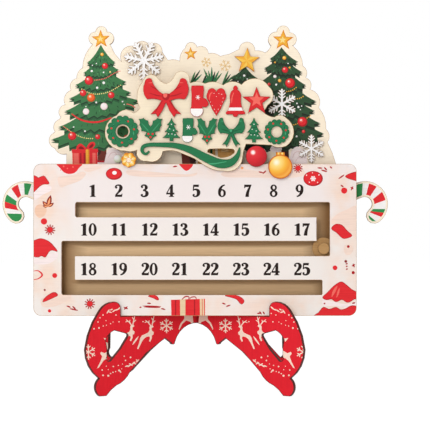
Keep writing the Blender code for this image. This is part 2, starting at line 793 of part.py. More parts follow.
# Right halves from top to bottom, in shares of a motif's own width and height
BELL_SHARES = [
    (0.0, 0.5, 0.0),
    (0.09, 0.46, 0.25),
    (0.09, 0.38, 0.3),
    (0.30, 0.12, 0.18),
    (0.36, -0.20, -0.06),
    (0.5, -0.34, -0.10),
    (0.44, -0.42, 0.4),
    (0.14, -0.42, 0.0),
    (0.0, -0.5, 0.28),
]
FIR_SHARES = [
    (0.0, 0.5, 0.0),
    (0.26, 0.20, -0.08),
    (0.13, 0.19, 0.0),
    (0.38, -0.10, -0.08),
    (0.22, -0.11, 0.0),
    (0.5, -0.36, -0.08),
    (0.10, -0.37, 0.03),
    (0.10, -0.5, 0.0),
    (0.0, -0.5, 0.0),
]
BOW_SHARES = [
    (0.0, 0.10, 0.0),
    (0.08, 0.09, 0.0),
    (0.34, 0.46, -0.10),
    (0.5, 0.36, 0.30),
    (0.44, -0.05, 0.16),
    (0.11, -0.08, -0.08),
    (0.36, -0.42, -0.06),
    (0.24, -0.41, 0.0),
    (0.19, -0.5, 0.0),
    (0.0, -0.13, 0.05),
]
HEART_SHARES = [
    (0.0, 0.32, 0.0),
    (0.46, 0.30, 0.46),
    (0.40, 0.0, 0.18),
    (0.0, -0.5, 0.04),
]
HOLLY_SHARES = [
    (0.0, 0.12, 0.0),
    (0.10, 0.38, -0.10),
    (0.29, 0.50, -0.12),
    (0.50, 0.46, -0.12),
    (0.47, 0.18, -0.14),
    (0.39, -0.08, -0.14),
    (0.17, -0.12, -0.08),
    (0.26, -0.28, -0.08),
    (0.0, -0.5, -0.12),
]
# Whole loop, clockwise
MITTEN_SHARES = [
    (-0.38, 0.22, 0.0),
    (-0.38, 0.5, 0.05),
    (0.30, 0.5, 0.03),
    (0.30, 0.22, 0.05),
    (0.28, 0.10, 0.0),
    (0.5, 0.02, 0.20),
    (0.30, -0.18, 0.45),
    (0.22, -0.18, 0.0),
    (-0.08, -0.5, 0.30),
    (-0.40, -0.18, 0.30),
]
WREATH_PETALS = 14
WREATH_WAIST_SHARE = 0.92
WREATH_BULGE_SHARE = 0.34
WREATH_HOLE_SHARE = 0.46
WREATH_BACKING_HOLE_SHARE = 0.36

# Middle, width and height of each raised motif, in shares of the sign's size
UPPER_MOTIFS = {
    "sign_bow": (-0.172, 0.24, 0.232, 0.40),
    "sign_mitten": (0.004, 0.20, 0.096, 0.31),
    "sign_heart": (0.103, 0.20, 0.105, 0.29),
    "sign_bell": (0.207, 0.20, 0.10, 0.31),
}
SIGN_STAR_SHARES = (0.322, 0.20)
SIGN_STAR_RADIUS_SHARE = 0.080
LOWER_MOTIFS = {
    "sign_holly_left": (-0.256, -0.08, 0.13, 0.23),
    "sign_fir_left": (-0.142, -0.08, 0.098, 0.23),
    "sign_mitten_green": (-0.048, -0.09, 0.084, 0.24),
    "sign_holly_middle": (0.052, -0.10, 0.112, 0.27),
    "sign_bow_green": (0.184, -0.105, 0.136, 0.30),
    "sign_fir_right": (0.308, -0.085, 0.10, 0.25),
}
WREATH_SHARES = (-0.408, -0.10)
WREATH_RADIUS_SHARE = 0.0845
SMALL_WREATH_SHARES = (0.432, -0.105)
SMALL_WREATH_RADIUS_SHARE = 0.067

# Ribbon below the sign: x in shares of the sign's width, z and half width of its height
RIBBON_SHARES = [
    (-0.262, -0.298, 0.009),
    (-0.282, -0.326, 0.013),
    (-0.301, -0.300, 0.016),
    (-0.296, -0.253, 0.018),
    (-0.262, -0.234, 0.020),
    (-0.200, -0.234, 0.022),
    (-0.120, -0.242, 0.027),
    (-0.040, -0.284, 0.035),
    (0.040, -0.359, 0.042),
    (0.118, -0.419, 0.046),
    (0.180, -0.412, 0.038),
    (0.218, -0.344, 0.024),
    (0.230, -0.260, 0.007),
]
RIBBON_STEPS = 4
STANDOFF_SHARES = {
    "sign_standoff_left": (-0.406, -0.225),
    "sign_standoff_middle": (-0.055, 0.20),
    "sign_standoff_right": (0.302, -0.10),
}


def on_sign(x_share, z_share, y):
    """Place on the sign from shares of its width and height."""
    x = SIGN_OFFSET + x_share * SIGN_WIDTH
    z = PANEL_TOP + SIGN_LIFT + z_share * SIGN_HEIGHT
    return (x, y, z)


def standoff(node_name, place):
    """Block between the scenery board and a piece in the plane of the sign backing."""
    half_width = STANDOFF_WIDTH / 2
    half_height = STANDOFF_HEIGHT / 2
    block = rounded_box(-half_width, half_width, -half_height, half_height, TRACK_CORNER)
    plate(node_name, [block], STANDOFF_DEPTH, place, BARE_PLY)


def motif_loop(node_name, width, height):
    """Loop of a raised motif of the sign, chosen by its name."""
    halves = {
        "bow": BOW_SHARES,
        "bell": BELL_SHARES,
        "fir": FIR_SHARES,
        "heart": HEART_SHARES,
        "holly": HOLLY_SHARES,
    }
    kind = node_name.split("_")[1]
    if kind == "mitten":
        return trace(sized(MITTEN_SHARES, width, height))
    return both_sides(sized(halves[kind], width, height))


def make_sign():
    """Cut-out sign: a backing, and raised motifs in two rows with a ribbon below."""
    backing = trace(sized(BACKING_SHARES, SIGN_WIDTH, SIGN_HEIGHT))
    bay_hole = trace(sized(BAY_HOLE_SHARES, SIGN_WIDTH, SIGN_HEIGHT))
    wreath_radius = WREATH_RADIUS_SHARE * SIGN_WIDTH
    wreath_x = WREATH_SHARES[0] * SIGN_WIDTH
    wreath_z = WREATH_SHARES[1] * SIGN_HEIGHT
    wreath_hole = circle(WREATH_BACKING_HOLE_SHARE * wreath_radius, wreath_x, wreath_z)
    backing_place = on_sign(0.0, 0.0, SIGN_Y)
    plate("sign_backing", [backing, bay_hole, wreath_hole], PLY, backing_place, PRINTED_CREAM)

    motif_y = SIGN_FACE_Y - GAP - TRIM_PLY / 2
    for motifs, look in ((UPPER_MOTIFS, PRINTED_RED), (LOWER_MOTIFS, PRINTED_GREEN)):
        for motif_name, (x, z, width, height) in motifs.items():
            loop = motif_loop(motif_name, width * SIGN_WIDTH, height * SIGN_HEIGHT)
            plate(motif_name, [loop], TRIM_PLY, on_sign(x, z, motif_y), look)
    star_loop = star(SIGN_STAR_RADIUS_SHARE * SIGN_WIDTH)
    plate("sign_star", [star_loop], TRIM_PLY, on_sign(*SIGN_STAR_SHARES, motif_y), PRINTED_RED)

    wreaths = {
        "sign_wreath": (WREATH_SHARES, wreath_radius),
        "sign_wreath_small": (SMALL_WREATH_SHARES, SMALL_WREATH_RADIUS_SHARE * SIGN_WIDTH),
    }
    for wreath_name, (place_shares, radius) in wreaths.items():
        ring = petals(radius, WREATH_PETALS, WREATH_WAIST_SHARE, WREATH_BULGE_SHARE)
        hole = circle(WREATH_HOLE_SHARE * radius)
        place = on_sign(*place_shares, motif_y)
        plate(wreath_name, [ring, hole], TRIM_PLY, place, PRINTED_GREEN)

    ribbon = smooth(RIBBON_SHARES, RIBBON_STEPS)
    path = [(x * SIGN_WIDTH, z * SIGN_HEIGHT) for x, z, half in ribbon]
    half_widths = [half * SIGN_HEIGHT for x, z, half in ribbon]
    ribbon_loop = band(path, half_widths)
    plate("sign_ribbon", [ribbon_loop], TRIM_PLY, on_sign(0.0, 0.0, motif_y), PRINTED_GREEN)

    for block_name, (x_share, z_share) in STANDOFF_SHARES.items():
        standoff(block_name, on_sign(x_share, z_share, STANDOFF_Y))


# Baubles and flower in front of the box's top edge
# The red bauble and the flower sit in notches of the sign backing.  A notch is a corner in
# shares of the sign's width and height from its middle.  The gold bauble stands beside the
# red one, and its middle is a share of its own diameter below the top of the box.
SIGN_NOTCH_PLAY = 0.0008      # bauble or flower to the backing
BAUBLE_RED_SHARES = (0.2585, -0.2318)
FLOWER_SHARES = (-0.3218, -0.285)
BAUBLE_SPACING = 0.0010        # between the sides of the two baubles
BAUBLE_GOLD_DROP_SHARE = 0.125
FLOWER_PETALS = 7
FLOWER_WAIST_SHARE = 0.74
FLOWER_BULGE_SHARE = 0.30
CAP_WIDTH_SHARE = 0.36
CAP_RISE_SHARE = 0.10


def capped_bauble(diameter):
    """Round bauble with a small cap on top, as one loop."""
    radius = diameter / 2
    cap_half = diameter * CAP_WIDTH_SHARE / 2
    shoulder = math.sqrt(radius * radius - cap_half * cap_half)
    cap_top = radius + diameter * CAP_RISE_SHARE
    half_angle = math.pi / 2 - math.asin(cap_half / radius) / 2
    low_bulge = math.tan(half_angle / 2) / 2
    corners = [
        (0.0, cap_top, 0.0),
        (cap_half, cap_top, 0.0),
        (cap_half, shoulder, 0.0),
        (0.0, -radius, low_bulge),
    ]
    return both_sides(corners)


def make_front_trim():
    """Two baubles and a gold flower, glued on in the plane of the sign backing."""
    red_reach = BAUBLE_RED_DIAMETER / 2 + SIGN_NOTCH_PLAY
    notch_x, sign_plane, notch_z = on_sign(*BAUBLE_RED_SHARES, SIGN_Y)
    red_x = notch_x + red_reach
    red_z = notch_z - red_reach
    red_loop = circle(BAUBLE_RED_DIAMETER / 2)
    plate("bauble_red", [red_loop], PLY, (red_x, sign_plane, red_z), PRINTED_RED)
    gold_x = red_x + (BAUBLE_RED_DIAMETER + BAUBLE_GOLD_DIAMETER) / 2 + BAUBLE_SPACING
    gold_z = PANEL_TOP - BAUBLE_GOLD_DROP_SHARE * BAUBLE_GOLD_DIAMETER
    gold_loop = capped_bauble(BAUBLE_GOLD_DIAMETER)
    plate("bauble_gold", [gold_loop], PLY, (gold_x, SIGN_Y, gold_z), PRINTED_GOLD)
    # The red bauble barely reaches the box, so a block behind it carries it too.
    block_z = PANEL_TOP + GAP + STANDOFF_HEIGHT / 2
    standoff("bauble_standoff", (red_x, STANDOFF_Y, block_z))
    flower_radius = FLOWER_DIAMETER / 2
    flower_reach = flower_radius + SIGN_NOTCH_PLAY
    notch_x, sign_plane, notch_z = on_sign(*FLOWER_SHARES, SIGN_Y)
    flower_place = (notch_x - flower_reach, sign_plane, notch_z - flower_reach)
    loop = petals(flower_radius, FLOWER_PETALS, FLOWER_WAIST_SHARE, FLOWER_BULGE_SHARE)
    plate("flower_gold", [loop], PLY, flower_place, PRINTED_GOLD)


make_box()
make_marker()
make_stand()
make_scenery()
make_scenery_trim()
make_canes()
make_sign()
make_front_trim()
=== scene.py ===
"""Looks of a plywood countdown calendar: prints, numbers, burnt edges and bare wood.

Places on a board are in millimetres, across and up, as its printed face is looked at.
Places named in picture units are pixels of the 430 x 430 view from the camera, y down.
"""
import math
import random

import bpy
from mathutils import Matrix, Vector
from mathutils.geometry import delaunay_2d_cdt


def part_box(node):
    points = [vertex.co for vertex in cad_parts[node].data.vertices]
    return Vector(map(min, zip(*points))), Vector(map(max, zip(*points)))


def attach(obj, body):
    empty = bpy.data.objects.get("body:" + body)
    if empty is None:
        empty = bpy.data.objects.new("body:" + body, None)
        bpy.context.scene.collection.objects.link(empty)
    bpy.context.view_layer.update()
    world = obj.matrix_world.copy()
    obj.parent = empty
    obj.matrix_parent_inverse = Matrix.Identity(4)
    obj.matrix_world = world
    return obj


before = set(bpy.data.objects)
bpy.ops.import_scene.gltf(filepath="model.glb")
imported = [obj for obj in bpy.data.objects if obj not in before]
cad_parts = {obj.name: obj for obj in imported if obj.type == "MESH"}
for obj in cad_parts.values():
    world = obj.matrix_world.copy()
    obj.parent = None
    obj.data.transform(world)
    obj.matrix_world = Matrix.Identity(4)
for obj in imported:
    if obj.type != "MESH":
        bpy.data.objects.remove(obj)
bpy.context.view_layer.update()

MM = 0.001

# The view
PICTURE_SIDE = 430
PIXEL = 0.78 * MM             # one pixel, on the front of the number panel
CAMERA_X = 15.6 * MM
CAMERA_Z = 140 * MM
CAMERA_DISTANCE = 1.1         # in front of the number panel
SENSOR = 36.0                 # mm

# Printing and cutting
INK_HEIGHT = 0.05             # mm, cured ink stands this proud of the wood
CHAR_WIDTH = 0.42             # mm, scorched rim that the laser leaves on a large board
TRIM_CHAR_WIDTH = 0.26        # mm, the same on the thinner ornaments
FINE_CHAR_WIDTH = 0.15        # mm, the same round the finest ones
CHAR_OVERRUN = 0.6            # a rim runs past its corners by this share of its width
WELD = 0.0001                 # mm, corners closer than this are one
FACING_OUT = 0.99             # least cosine between a printed face and its board's direction
FACE_DEPTH = 0.1 * MM         # a printed face lies no deeper than this in its board
STAND_YAW = math.radians(30)  # each stand board from the line of the panel

UP = Vector((0.0, 0.0, 1.0))
FRONT = Vector((0.0, -1.0, 0.0))
PANEL_FACE_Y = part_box("front_panel")[0].y
CAMERA = Vector((CAMERA_X, PANEL_FACE_Y - CAMERA_DISTANCE, CAMERA_Z))


# Flat shapes.  A loop is a list of (across, up) points.

STROKE_SHOULDERS = (0.3, 0.7)  # a straight stroke is full between these shares of its length


def away(x, y, reach, angle):
    """Point at a distance and in a direction from a place."""
    return (x + reach * math.cos(angle), y + reach * math.sin(angle))


def sides(loop):
    """Start and end of each side of a loop."""
    return zip(loop, loop[1:] + loop[:1])


def oval(x, y, half_width, half_height=None, steps=20):
    """Loop of an oval, or of a circle if it has one radius."""
    half_height = half_width if half_height is None else half_height
    loop = []
    for step in range(steps):
        angle = 2 * math.pi * step / steps
        loop.append((x + half_width * math.cos(angle), y + half_height * math.sin(angle)))
    return loop


def between(start, end, share):
    """Point at a share of the way from start to end."""
    return tuple(a + (b - a) * share for a, b in zip(start, end))


def flow(rows, steps, closed=False):
    """Rows of numbers, with a soft curve's rows between them."""
    if closed:
        around = [rows[-1], *rows, rows[0], rows[1]]
    else:
        around = [rows[0], *rows, rows[-1]]
    result = []
    for index in range(1, len(around) - 2):
        span = around[index - 1:index + 3]
        for step in range(steps):
            t = step / steps
            row = []
            for a, b, c, d in zip(*span):
                cubic = 3 * b - a - 3 * c + d
                square = 2 * a - 5 * b + 4 * c - d
                row.append((2 * b + (c - a) * t + square * t * t + cubic * t ** 3) / 2)
            result.append(tuple(row))
    if not closed:
        result.append(tuple(rows[-1]))
    return result


def soft(points, steps=4):
    """Closed loop that runs softly through the points."""
    return flow(points, steps, closed=True)


def bend(start, middle, end, steps):
    """Points of a curve from start to end that is drawn towards middle."""
    points = []
    for step in range(steps + 1):
        share = step / steps
        points.append(between(between(start, middle, share), between(middle, end, share), share))
    return points


def brush(rows):
    """Loop of a brush stroke.  Each row is (across, up, half width)."""
    left = []
    right = []
    last = len(rows) - 1
    for index, (x, y, half) in enumerate(rows):
        before = rows[max(index - 1, 0)]
        after = rows[min(index + 1, last)]
        run_x = after[0] - before[0]
        run_y = after[1] - before[1]
        length = math.hypot(run_x, run_y)
        left.append((x - run_y / length * half, y + run_x / length * half))
        right.append((x + run_y / length * half, y - run_x / length * half))
    return left + right[::-1]


def line(start, end, half, tip=0.3):
    """Straight brush stroke whose ends have a share, tip, of its half width."""
    first, second = [between(start, end, share) for share in STROKE_SHOULDERS]
    return brush([(*start, half * tip), (*first, half), (*second, half), (*end, half * tip)])


def star(x, y, radius, waist=0.42, points=5, turn=0.0):
    """Star with one point towards lower y values."""
    loop = []
    for corner in range(2 * points):
        reach = radius if corner % 2 == 0 else radius * waist
        angle = -math.pi / 2 + turn + corner * math.pi / points
        loop.append(away(x, y, reach, angle))
    return loop


def area(loop):
    """Signed area of a loop, positive if it runs counterclockwise."""
    return sum(x * next_y - next_x * y for (x, y), (next_x, next_y) in sides(loop)) / 2


# Boards

class Board:
    """The printed face of one or more boards that lie in one plane."""

    def __init__(self, nodes, out):
        self.out = Vector(out).normalized()
        self.across = UP.cross(self.out)
        meshes = [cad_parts[node_name].data for node_name in nodes]
        self.depth = max(
            corner.co.dot(self.out) for mesh in meshes for corner in mesh.vertices)
        self.loops = [loop for mesh in meshes for loop in self.face_loops(mesh)]

    def face_loops(self, mesh):
        """Edge and holes of a node's printed face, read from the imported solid."""
        directed = {}
        for polygon in mesh.polygons:
            depth = self.depth - polygon.center.dot(self.out)
            if polygon.normal.dot(self.out) >= FACING_OUT and depth <= FACE_DEPTH:
                corners = [self.flat(mesh.vertices[index].co) for index in polygon.vertices]
                for side in sides(corners):
                    directed[side] = True
        following = {}
        for start, end in directed:
            if (end, start) not in directed:
                following[start] = end
        loops = []
        while following:
            first, corner = following.popitem()
            loop = [first]
            while corner != first:
                loop.append(corner)
                corner = following.pop(corner)
            loops.append(loop)
        return loops

    def flat(self, place):
        """(across, up) in millimetres of a place in metres."""
        return (round(place.dot(self.across) / MM, 4), round(place.dot(UP) / MM, 4))

    def place(self, x, y, height):
        """Place in metres of a point on the board, at a height above its face."""
        return self.across * (x * MM) + UP * (y * MM) + self.out * (self.depth + height * MM)

    def seen(self, loop):
        """A loop in picture units, laid on the board as the camera sees it."""
        result = []
        for picture_x, picture_y in loop:
            ray = Vector((
                (picture_x - PICTURE_SIDE / 2) * PIXEL,
                CAMERA_DISTANCE,
                (PICTURE_SIDE / 2 - picture_y) * PIXEL,
            ))
            reach = (self.depth - CAMERA.dot(self.out)) / ray.dot(self.out)
            result.append(self.flat(CAMERA + ray * reach))
        return result


class Print:
    """Shapes of ink on one board.  A later shape covers what lies under it."""

    def __init__(self, print_name, board, slot):
        self.print_name = print_name
        self.board = board
        self.slot = slot
        self.shapes = []

    def lay(self, ink, *loops, holes=()):
        """Add loops in millimetres on the board."""
        self.shapes.append((ink, loops, holes))

    def paint(self, ink, *loops):
        """Add loops in picture units."""
        self.lay(ink, *[self.board.seen(loop) for loop in loops])

    def scorch(self, width, ink="char"):
        """Scorched rim along every cut edge of the board."""
        strips = []
        for loop in self.board.loops:
            for start, end in sides(loop):
                run = (end[0] - start[0], end[1] - start[1])
                length = math.hypot(*run)
                along = [part / length * width * CHAR_OVERRUN for part in run]
                aside = (-run[1] / length * width, run[0] / length * width)
                strips.append([
                    (start[0] - along[0] - aside[0], start[1] - along[1] - aside[1]),
                    (end[0] + along[0] - aside[0], end[1] + along[1] - aside[1]),
                    (end[0] + along[0] + aside[0], end[1] + along[1] + aside[1]),
                    (start[0] - along[0] + aside[0], start[1] - along[1] + aside[1]),
                ])
        self.lay(ink, *strips)

    def cure(self):
        """Make one thin solid of each ink, cut by the inks that cover it and by the board."""
        edges = [loop for loop in self.board.loops if area(loop) > 0]
        voids = [loop for loop in self.board.loops if area(loop) <= 0]
        points = []
        faces = []
        owners = []
        for number, (_, loops, holes) in enumerate([("board", edges, voids), *self.shapes]):
            for part, group in (("solid", loops), ("hole", holes)):
                for loop in group:
                    turned = loop if area(loop) > 0 else loop[::-1]
                    faces.append(range(len(points), len(points) + len(turned)))
                    points.extend(Vector(point) for point in turned)
                    owners.append((number, part))
        corners, _, triangles, _, _, sources = delaunay_2d_cdt(points, [], faces, 0, WELD, True)
        inks = {}
        for triangle, source in zip(triangles, sources):
            solid = {owners[index][0] for index in source if owners[index][1] == "solid"}
            cut = {owners[index][0] for index in source if owners[index][1] == "hole"}
            covering = solid - cut
            if 0 in covering and len(covering) > 1:
                ink = self.shapes[max(covering) - 1][0]
                inks.setdefault(ink, []).append(triangle)
        for ink, patches in inks.items():
            self.film(ink, corners, patches)

    def film(self, ink, corners, triangles):
        """Closed film of one ink over the triangles."""
        directed = set()
        for triangle in triangles:
            for index in range(3):
                directed.add((triangle[index], triangle[(index + 1) % 3]))
        used = sorted({corner for triangle in triangles for corner in triangle})
        number = {corner: index for index, corner in enumerate(used)}
        top = len(used)
        places = [
            self.board.place(*corners[corner], height)
            for height in (0.0, INK_HEIGHT) for corner in used]
        faces = []
        for triangle in triangles:
            low = [number[corner] for corner in triangle]
            faces.append([corner + top for corner in low])
            faces.append(low[::-1])
        for start, end in directed:
            if (end, start) not in directed:
                first, second = number[start], number[end]
                faces.append([first, second, second + top, first + top])
        mesh = bpy.data.meshes.new(f"{self.print_name}_{ink}")
        mesh.from_pydata(places, [], faces)
        mesh.materials.append(INKS[ink])
        piece = bpy.data.objects.new(mesh.name, mesh)
        bpy.context.scene.collection.objects.link(piece)
        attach(piece, "calendar")


# Finishes

SHEEN = 0.12                  # specular level of thin matt ink and of sanded wood
COLOUR_A = 6                  # inputs of a Mix node that mixes colours
COLOUR_B = 7
FACE_COSINE = 0.5             # a surface that faces a direction less than this is a side

# Basswood has pores of about 0.1 mm.  The streaks are drawn coarser, so that they show.
GRAIN_LENGTH = 16 * MM
GRAIN_WIDTH = 0.8 * MM
SEALED_RIDGES = 0.015 * MM    # height of the grain under ink
SANDED_RIDGES = 0.05 * MM     # height of the grain on bare wood
CHAR_SPOT = 2.5 * MM          # size of the darker spots of a scorch mark
ALONG_X = 0
ALONG_Z = 2

BARE_WOOD = "#D9BC8A"
CUT_SIDE = "#64321F"
# Cut edge of charred ply, from its back to its front: veneers between thin dark glue lines
BURNT_EDGE = [
    (0.02, "#35100C"), (0.14, "#742C20"), (0.31, "#622218"), (0.34, "#35100C"),
    (0.38, "#541C14"), (0.62, "#541C14"), (0.66, "#35100C"), (0.70, "#68271B"),
    (0.98, "#441510"),
]

# The panel's watercolour wash lies on its border, and stays off the rows of numbers.
WASH_PINK = "#F1E7E4"
WASH_IVORY = "#F2EAE4"        # the ground runs from pink, at the top, to this at the bottom
WASH_PEACH = "#F6DCCB"
WASH_SPOT = 22 * MM
WASH_SPOT_RANGE = (0.40, 0.68)  # noise value: no patch, full patch
WASH_GROUND = (0.146, 0.126)  # metres above the ground: pink, ivory
WASH_SIDE = (0.094, 0.112)    # metres from the middle: no wash, full wash
WASH_LOW = (0.083, 0.074)     # metres above the ground: no wash, full wash
WASH_HIGH = (0.166, 0.178)

# Painted light: the track floor is a lighter tan than the bare wood of the same sheet, to make up for
# the shade inside the tracks
TRACK_FLOOR_LIGHTENED = "#EECB9E"
# Painted shade: the track floor is painted darker brown towards both ends and under the upper edge of
# each row, where shade falls, and darker towards the bottom
PAINTED_SHADE_BROWN = "#8F6840"
PAINTED_SHADE_SIDE = (0.084, 0.104)   # metres from the middle: no painted shade, full painted shade
TRACK_DARKER_LOW = (0.112, 0.039)    # metres above the ground: lightest, darkest
TRACK_TOP = 0.1496            # metres above the ground, upper edge of the first row
TRACK_PITCH = 0.0303
PAINTED_SHADE_TOP = (0.83, 0.91)      # share of the pitch: no painted shade, full painted shade
PAINTED_SHADE_TOP_MOST = 0.72         # how dark the painted shade gets there


def linear(hex_colour):
    """Linear colour of an sRGB hex value such as #AABBCC."""
    channels = []
    for first in (1, 3, 5):
        value = int(hex_colour[first:first + 2], 16) / 255
        if value <= 0.04045:
            channels.append(value / 12.92)
        else:
            channels.append(((value + 0.055) / 1.055) ** 2.4)
    return (*channels, 1.0)


def tone(hex_colour, share):
    """The colour moved by a share towards white, or towards black if the share is negative."""
    target = 255 if share > 0 else 0
    mixed = "#"
    for first in (1, 3, 5):
        value = int(hex_colour[first:first + 2], 16)
        mixed += f"{round(value + (target - value) * abs(share)):02X}"
    return mixed


def result(node):
    """The socket that gives a node's result."""
    return next(socket for socket in node.outputs if socket.enabled)


def add(tree, kind, inputs=(), stops=(), **settings):
    """Add a node.  An input is a value, or a socket or a node that is linked to it."""
    node = tree.nodes.new("ShaderNode" + kind)
    for setting, value in settings.items():
        setattr(node, setting, value)
    for key, value in dict(inputs).items():
        if isinstance(value, bpy.types.Node):
            value = result(value)
        if isinstance(value, bpy.types.NodeSocket):
            tree.links.new(value, node.inputs[key])
        else:
            node.inputs[key].default_value = value
    for index, (place, hex_colour) in enumerate(stops):
        if index >= len(node.color_ramp.elements):
            node.color_ramp.elements.new(place)
        node.color_ramp.elements[index].position = place
        node.color_ramp.elements[index].color = linear(hex_colour)
    return node


def new_finish(finish_name, roughness):
    """Empty material with its Principled shader, which is not metal."""
    material = bpy.data.materials.new(finish_name)
    material.use_nodes = True
    tree = material.node_tree
    shader = tree.nodes["Principled BSDF"]
    shader.inputs["Roughness"].default_value = roughness
    shader.inputs["Metallic"].default_value = 0.0
    shader.inputs["IOR"].default_value = 1.5
    shader.inputs["Specular IOR Level"].default_value = SHEEN
    return material, tree, shader


def object_place(tree):
    """Socket of the place on the object, in metres."""
    return add(tree, "TexCoord").outputs["Object"]


def wood_streaks(tree, grain_axis=ALONG_X):
    """Node, 0 to 1, of the long streaks of a peeled veneer."""
    stretch = [1 / GRAIN_WIDTH] * 3
    stretch[grain_axis] = 1 / GRAIN_LENGTH
    stretched = add(tree, "Mapping", {"Vector": object_place(tree), "Scale": stretch})
    return add(tree, "TexNoise", {"Vector": stretched, "Scale": 1.0, "Detail": 3.0})


def streaked(tree, streaks, hex_colour, *shades):
    """Node of a colour in shades.  Each is a value of the streaks and a share for tone."""
    stops = [(place, tone(hex_colour, share)) for place, share in shades]
    return add(tree, "ValToRGB", {"Fac": streaks}, stops=stops)


def raise_grain(tree, shader, streaks, height):
    """Fine ridges, in metres high, where the streaks are light."""
    bump = add(tree, "Bump", {"Height": streaks, "Strength": 0.5, "Distance": height})
    tree.links.new(result(bump), shader.inputs["Normal"])


def facing(tree, direction):
    """Node of the cosine between the surface and a direction."""
    normal = add(tree, "NewGeometry").outputs["True Normal"]
    return add(tree, "VectorMath", {0: normal, 1: direction}, operation="DOT_PRODUCT")


def cured_ink(ink_name, hex_colour):
    """Ink cured by ultraviolet light on sealed ply.

    It gives an even, slightly mottled colour with a soft sheen, and the grain shows through
    as faint ridges.
    """
    material, tree, shader = new_finish("cured_ink_" + ink_name, roughness=0.5)
    streaks = wood_streaks(tree)
    colour = streaked(tree, streaks, hex_colour, (0.30, -0.04), (0.55, 0), (0.80, 0.03))
    tree.links.new(result(colour), shader.inputs["Base Color"])
    raise_grain(tree, shader, streaks, SEALED_RIDGES)
    return material


def scorch_mark(ink_name, hex_colour):
    """Wood browned by the laser beside its cut: matt, and uneven like the heat that made it."""
    material, tree, shader = new_finish("laser_scorch_" + ink_name, roughness=0.8)
    place = object_place(tree)
    smoke_and_painted_shade = add(tree, "TexNoise", {"Vector": place, "Scale": 1 / CHAR_SPOT, "Detail": 2.0})
    colour = streaked(tree, smoke_and_painted_shade, hex_colour, (0.30, -0.25), (0.70, 0.12))
    tree.links.new(result(colour), shader.inputs["Base Color"])
    return material


def glass_shading(ink_name, glint, reach, tones):
    """Cured ink in the soft tones of a glass ball, from its glint to its far rim.

    It is printed thick, so it is smoother and shinier than the other inks.
    """
    material, tree, shader = new_finish("cured_ink_" + ink_name, roughness=0.35)
    moved = add(tree, "VectorMath", {0: object_place(tree), 1: glint}, operation="SUBTRACT")
    distance = add(tree, "VectorMath", {0: moved}, operation="LENGTH")
    share = add(tree, "Math", {0: distance, 1: reach}, operation="DIVIDE")
    colour = add(tree, "ValToRGB", {"Fac": share}, stops=tones)
    tree.links.new(result(colour), shader.inputs["Base Color"])
    return material


def printed_ply(finish_name, board, thickness, face, grain_axis):
    """Laser-cut basswood ply with a printed face.

    The face is the ink's colour, the back is bare wood with its streaks, and the cut edge is
    charred dark brown, with the glue lines of the veneers as thin darker stripes.
    """
    material, tree, shader = new_finish("basswood_ply_" + finish_name, roughness=0.5)
    streaks = wood_streaks(tree, grain_axis)
    outward = facing(tree, board.out)
    depth = add(tree, "VectorMath", {0: object_place(tree), 1: board.out},
                operation="DOT_PRODUCT")
    level = add(tree, "Math", {0: depth, 1: board.depth - thickness}, operation="SUBTRACT")
    level = add(tree, "Math", {0: level, 1: thickness}, operation="DIVIDE")
    edge = add(tree, "ValToRGB", {"Fac": level}, stops=BURNT_EDGE)
    bare = streaked(tree, streaks, BARE_WOOD, (0.25, -0.16), (0.55, 0), (0.80, 0.14))
    front = add(tree, "Math", {0: outward, 1: FACE_COSINE}, operation="GREATER_THAN")
    rear = add(tree, "Math", {0: outward, 1: -FACE_COSINE}, operation="LESS_THAN")
    colour = add(tree, "Mix", {0: front, COLOUR_A: edge, COLOUR_B: face(tree, streaks)},
                 data_type="RGBA")
    colour = add(tree, "Mix", {0: rear, COLOUR_A: colour, COLOUR_B: bare}, data_type="RGBA")
    tree.links.new(result(colour), shader.inputs["Base Color"])
    raise_grain(tree, shader, streaks, SEALED_RIDGES)
    return material


def flat_ink(hex_colour, mottle=0.025):
    """Face of one ink over the whole board."""
    def face(tree, streaks):
        return streaked(tree, streaks, hex_colour, (0.30, -mottle), (0.55, 0), (0.80, mottle))
    return face


def watercolour(tree, streaks):
    """Pale pink ground with peach patches towards the panel's sides and lower edge."""
    place = object_place(tree)
    spots = add(tree, "TexNoise", {"Vector": place, "Scale": 1 / WASH_SPOT, "Detail": 3.0})
    axes = add(tree, "SeparateXYZ", {0: place}).outputs
    side = add(tree, "Math", {0: axes["X"]}, operation="ABSOLUTE")
    patch, beside, below, above, height = [
        add(tree, "MapRange", {"Value": value, "From Min": start, "From Max": end})
        for value, (start, end) in (
            (spots, WASH_SPOT_RANGE), (side, WASH_SIDE), (axes["Z"], WASH_LOW),
            (axes["Z"], WASH_HIGH), (axes["Z"], WASH_GROUND))]
    border = add(tree, "Math", {0: beside, 1: below}, operation="MAXIMUM")
    border = add(tree, "Math", {0: border, 1: above}, operation="MAXIMUM")
    share = add(tree, "Math", {0: patch, 1: border}, operation="MULTIPLY")
    ground = add(tree, "Mix", {
        0: height, COLOUR_A: linear(WASH_PINK), COLOUR_B: linear(WASH_IVORY)}, data_type="RGBA")
    peach = flat_ink(WASH_PEACH)(tree, streaks)
    return add(tree, "Mix", {0: share, COLOUR_A: ground, COLOUR_B: peach}, data_type="RGBA")


def burnt_sides(tree, face_colour):
    """Node of a sheet's colour: its faces keep theirs, and its laser-cut sides are brown."""
    flat = add(tree, "Math", {0: facing(tree, FRONT)}, operation="ABSOLUTE")
    cut = add(tree, "Math", {0: flat, 1: FACE_COSINE}, operation="LESS_THAN")
    return add(tree, "Mix", {0: cut, COLOUR_A: face_colour, COLOUR_B: linear(CUT_SIDE)},
               data_type="RGBA")


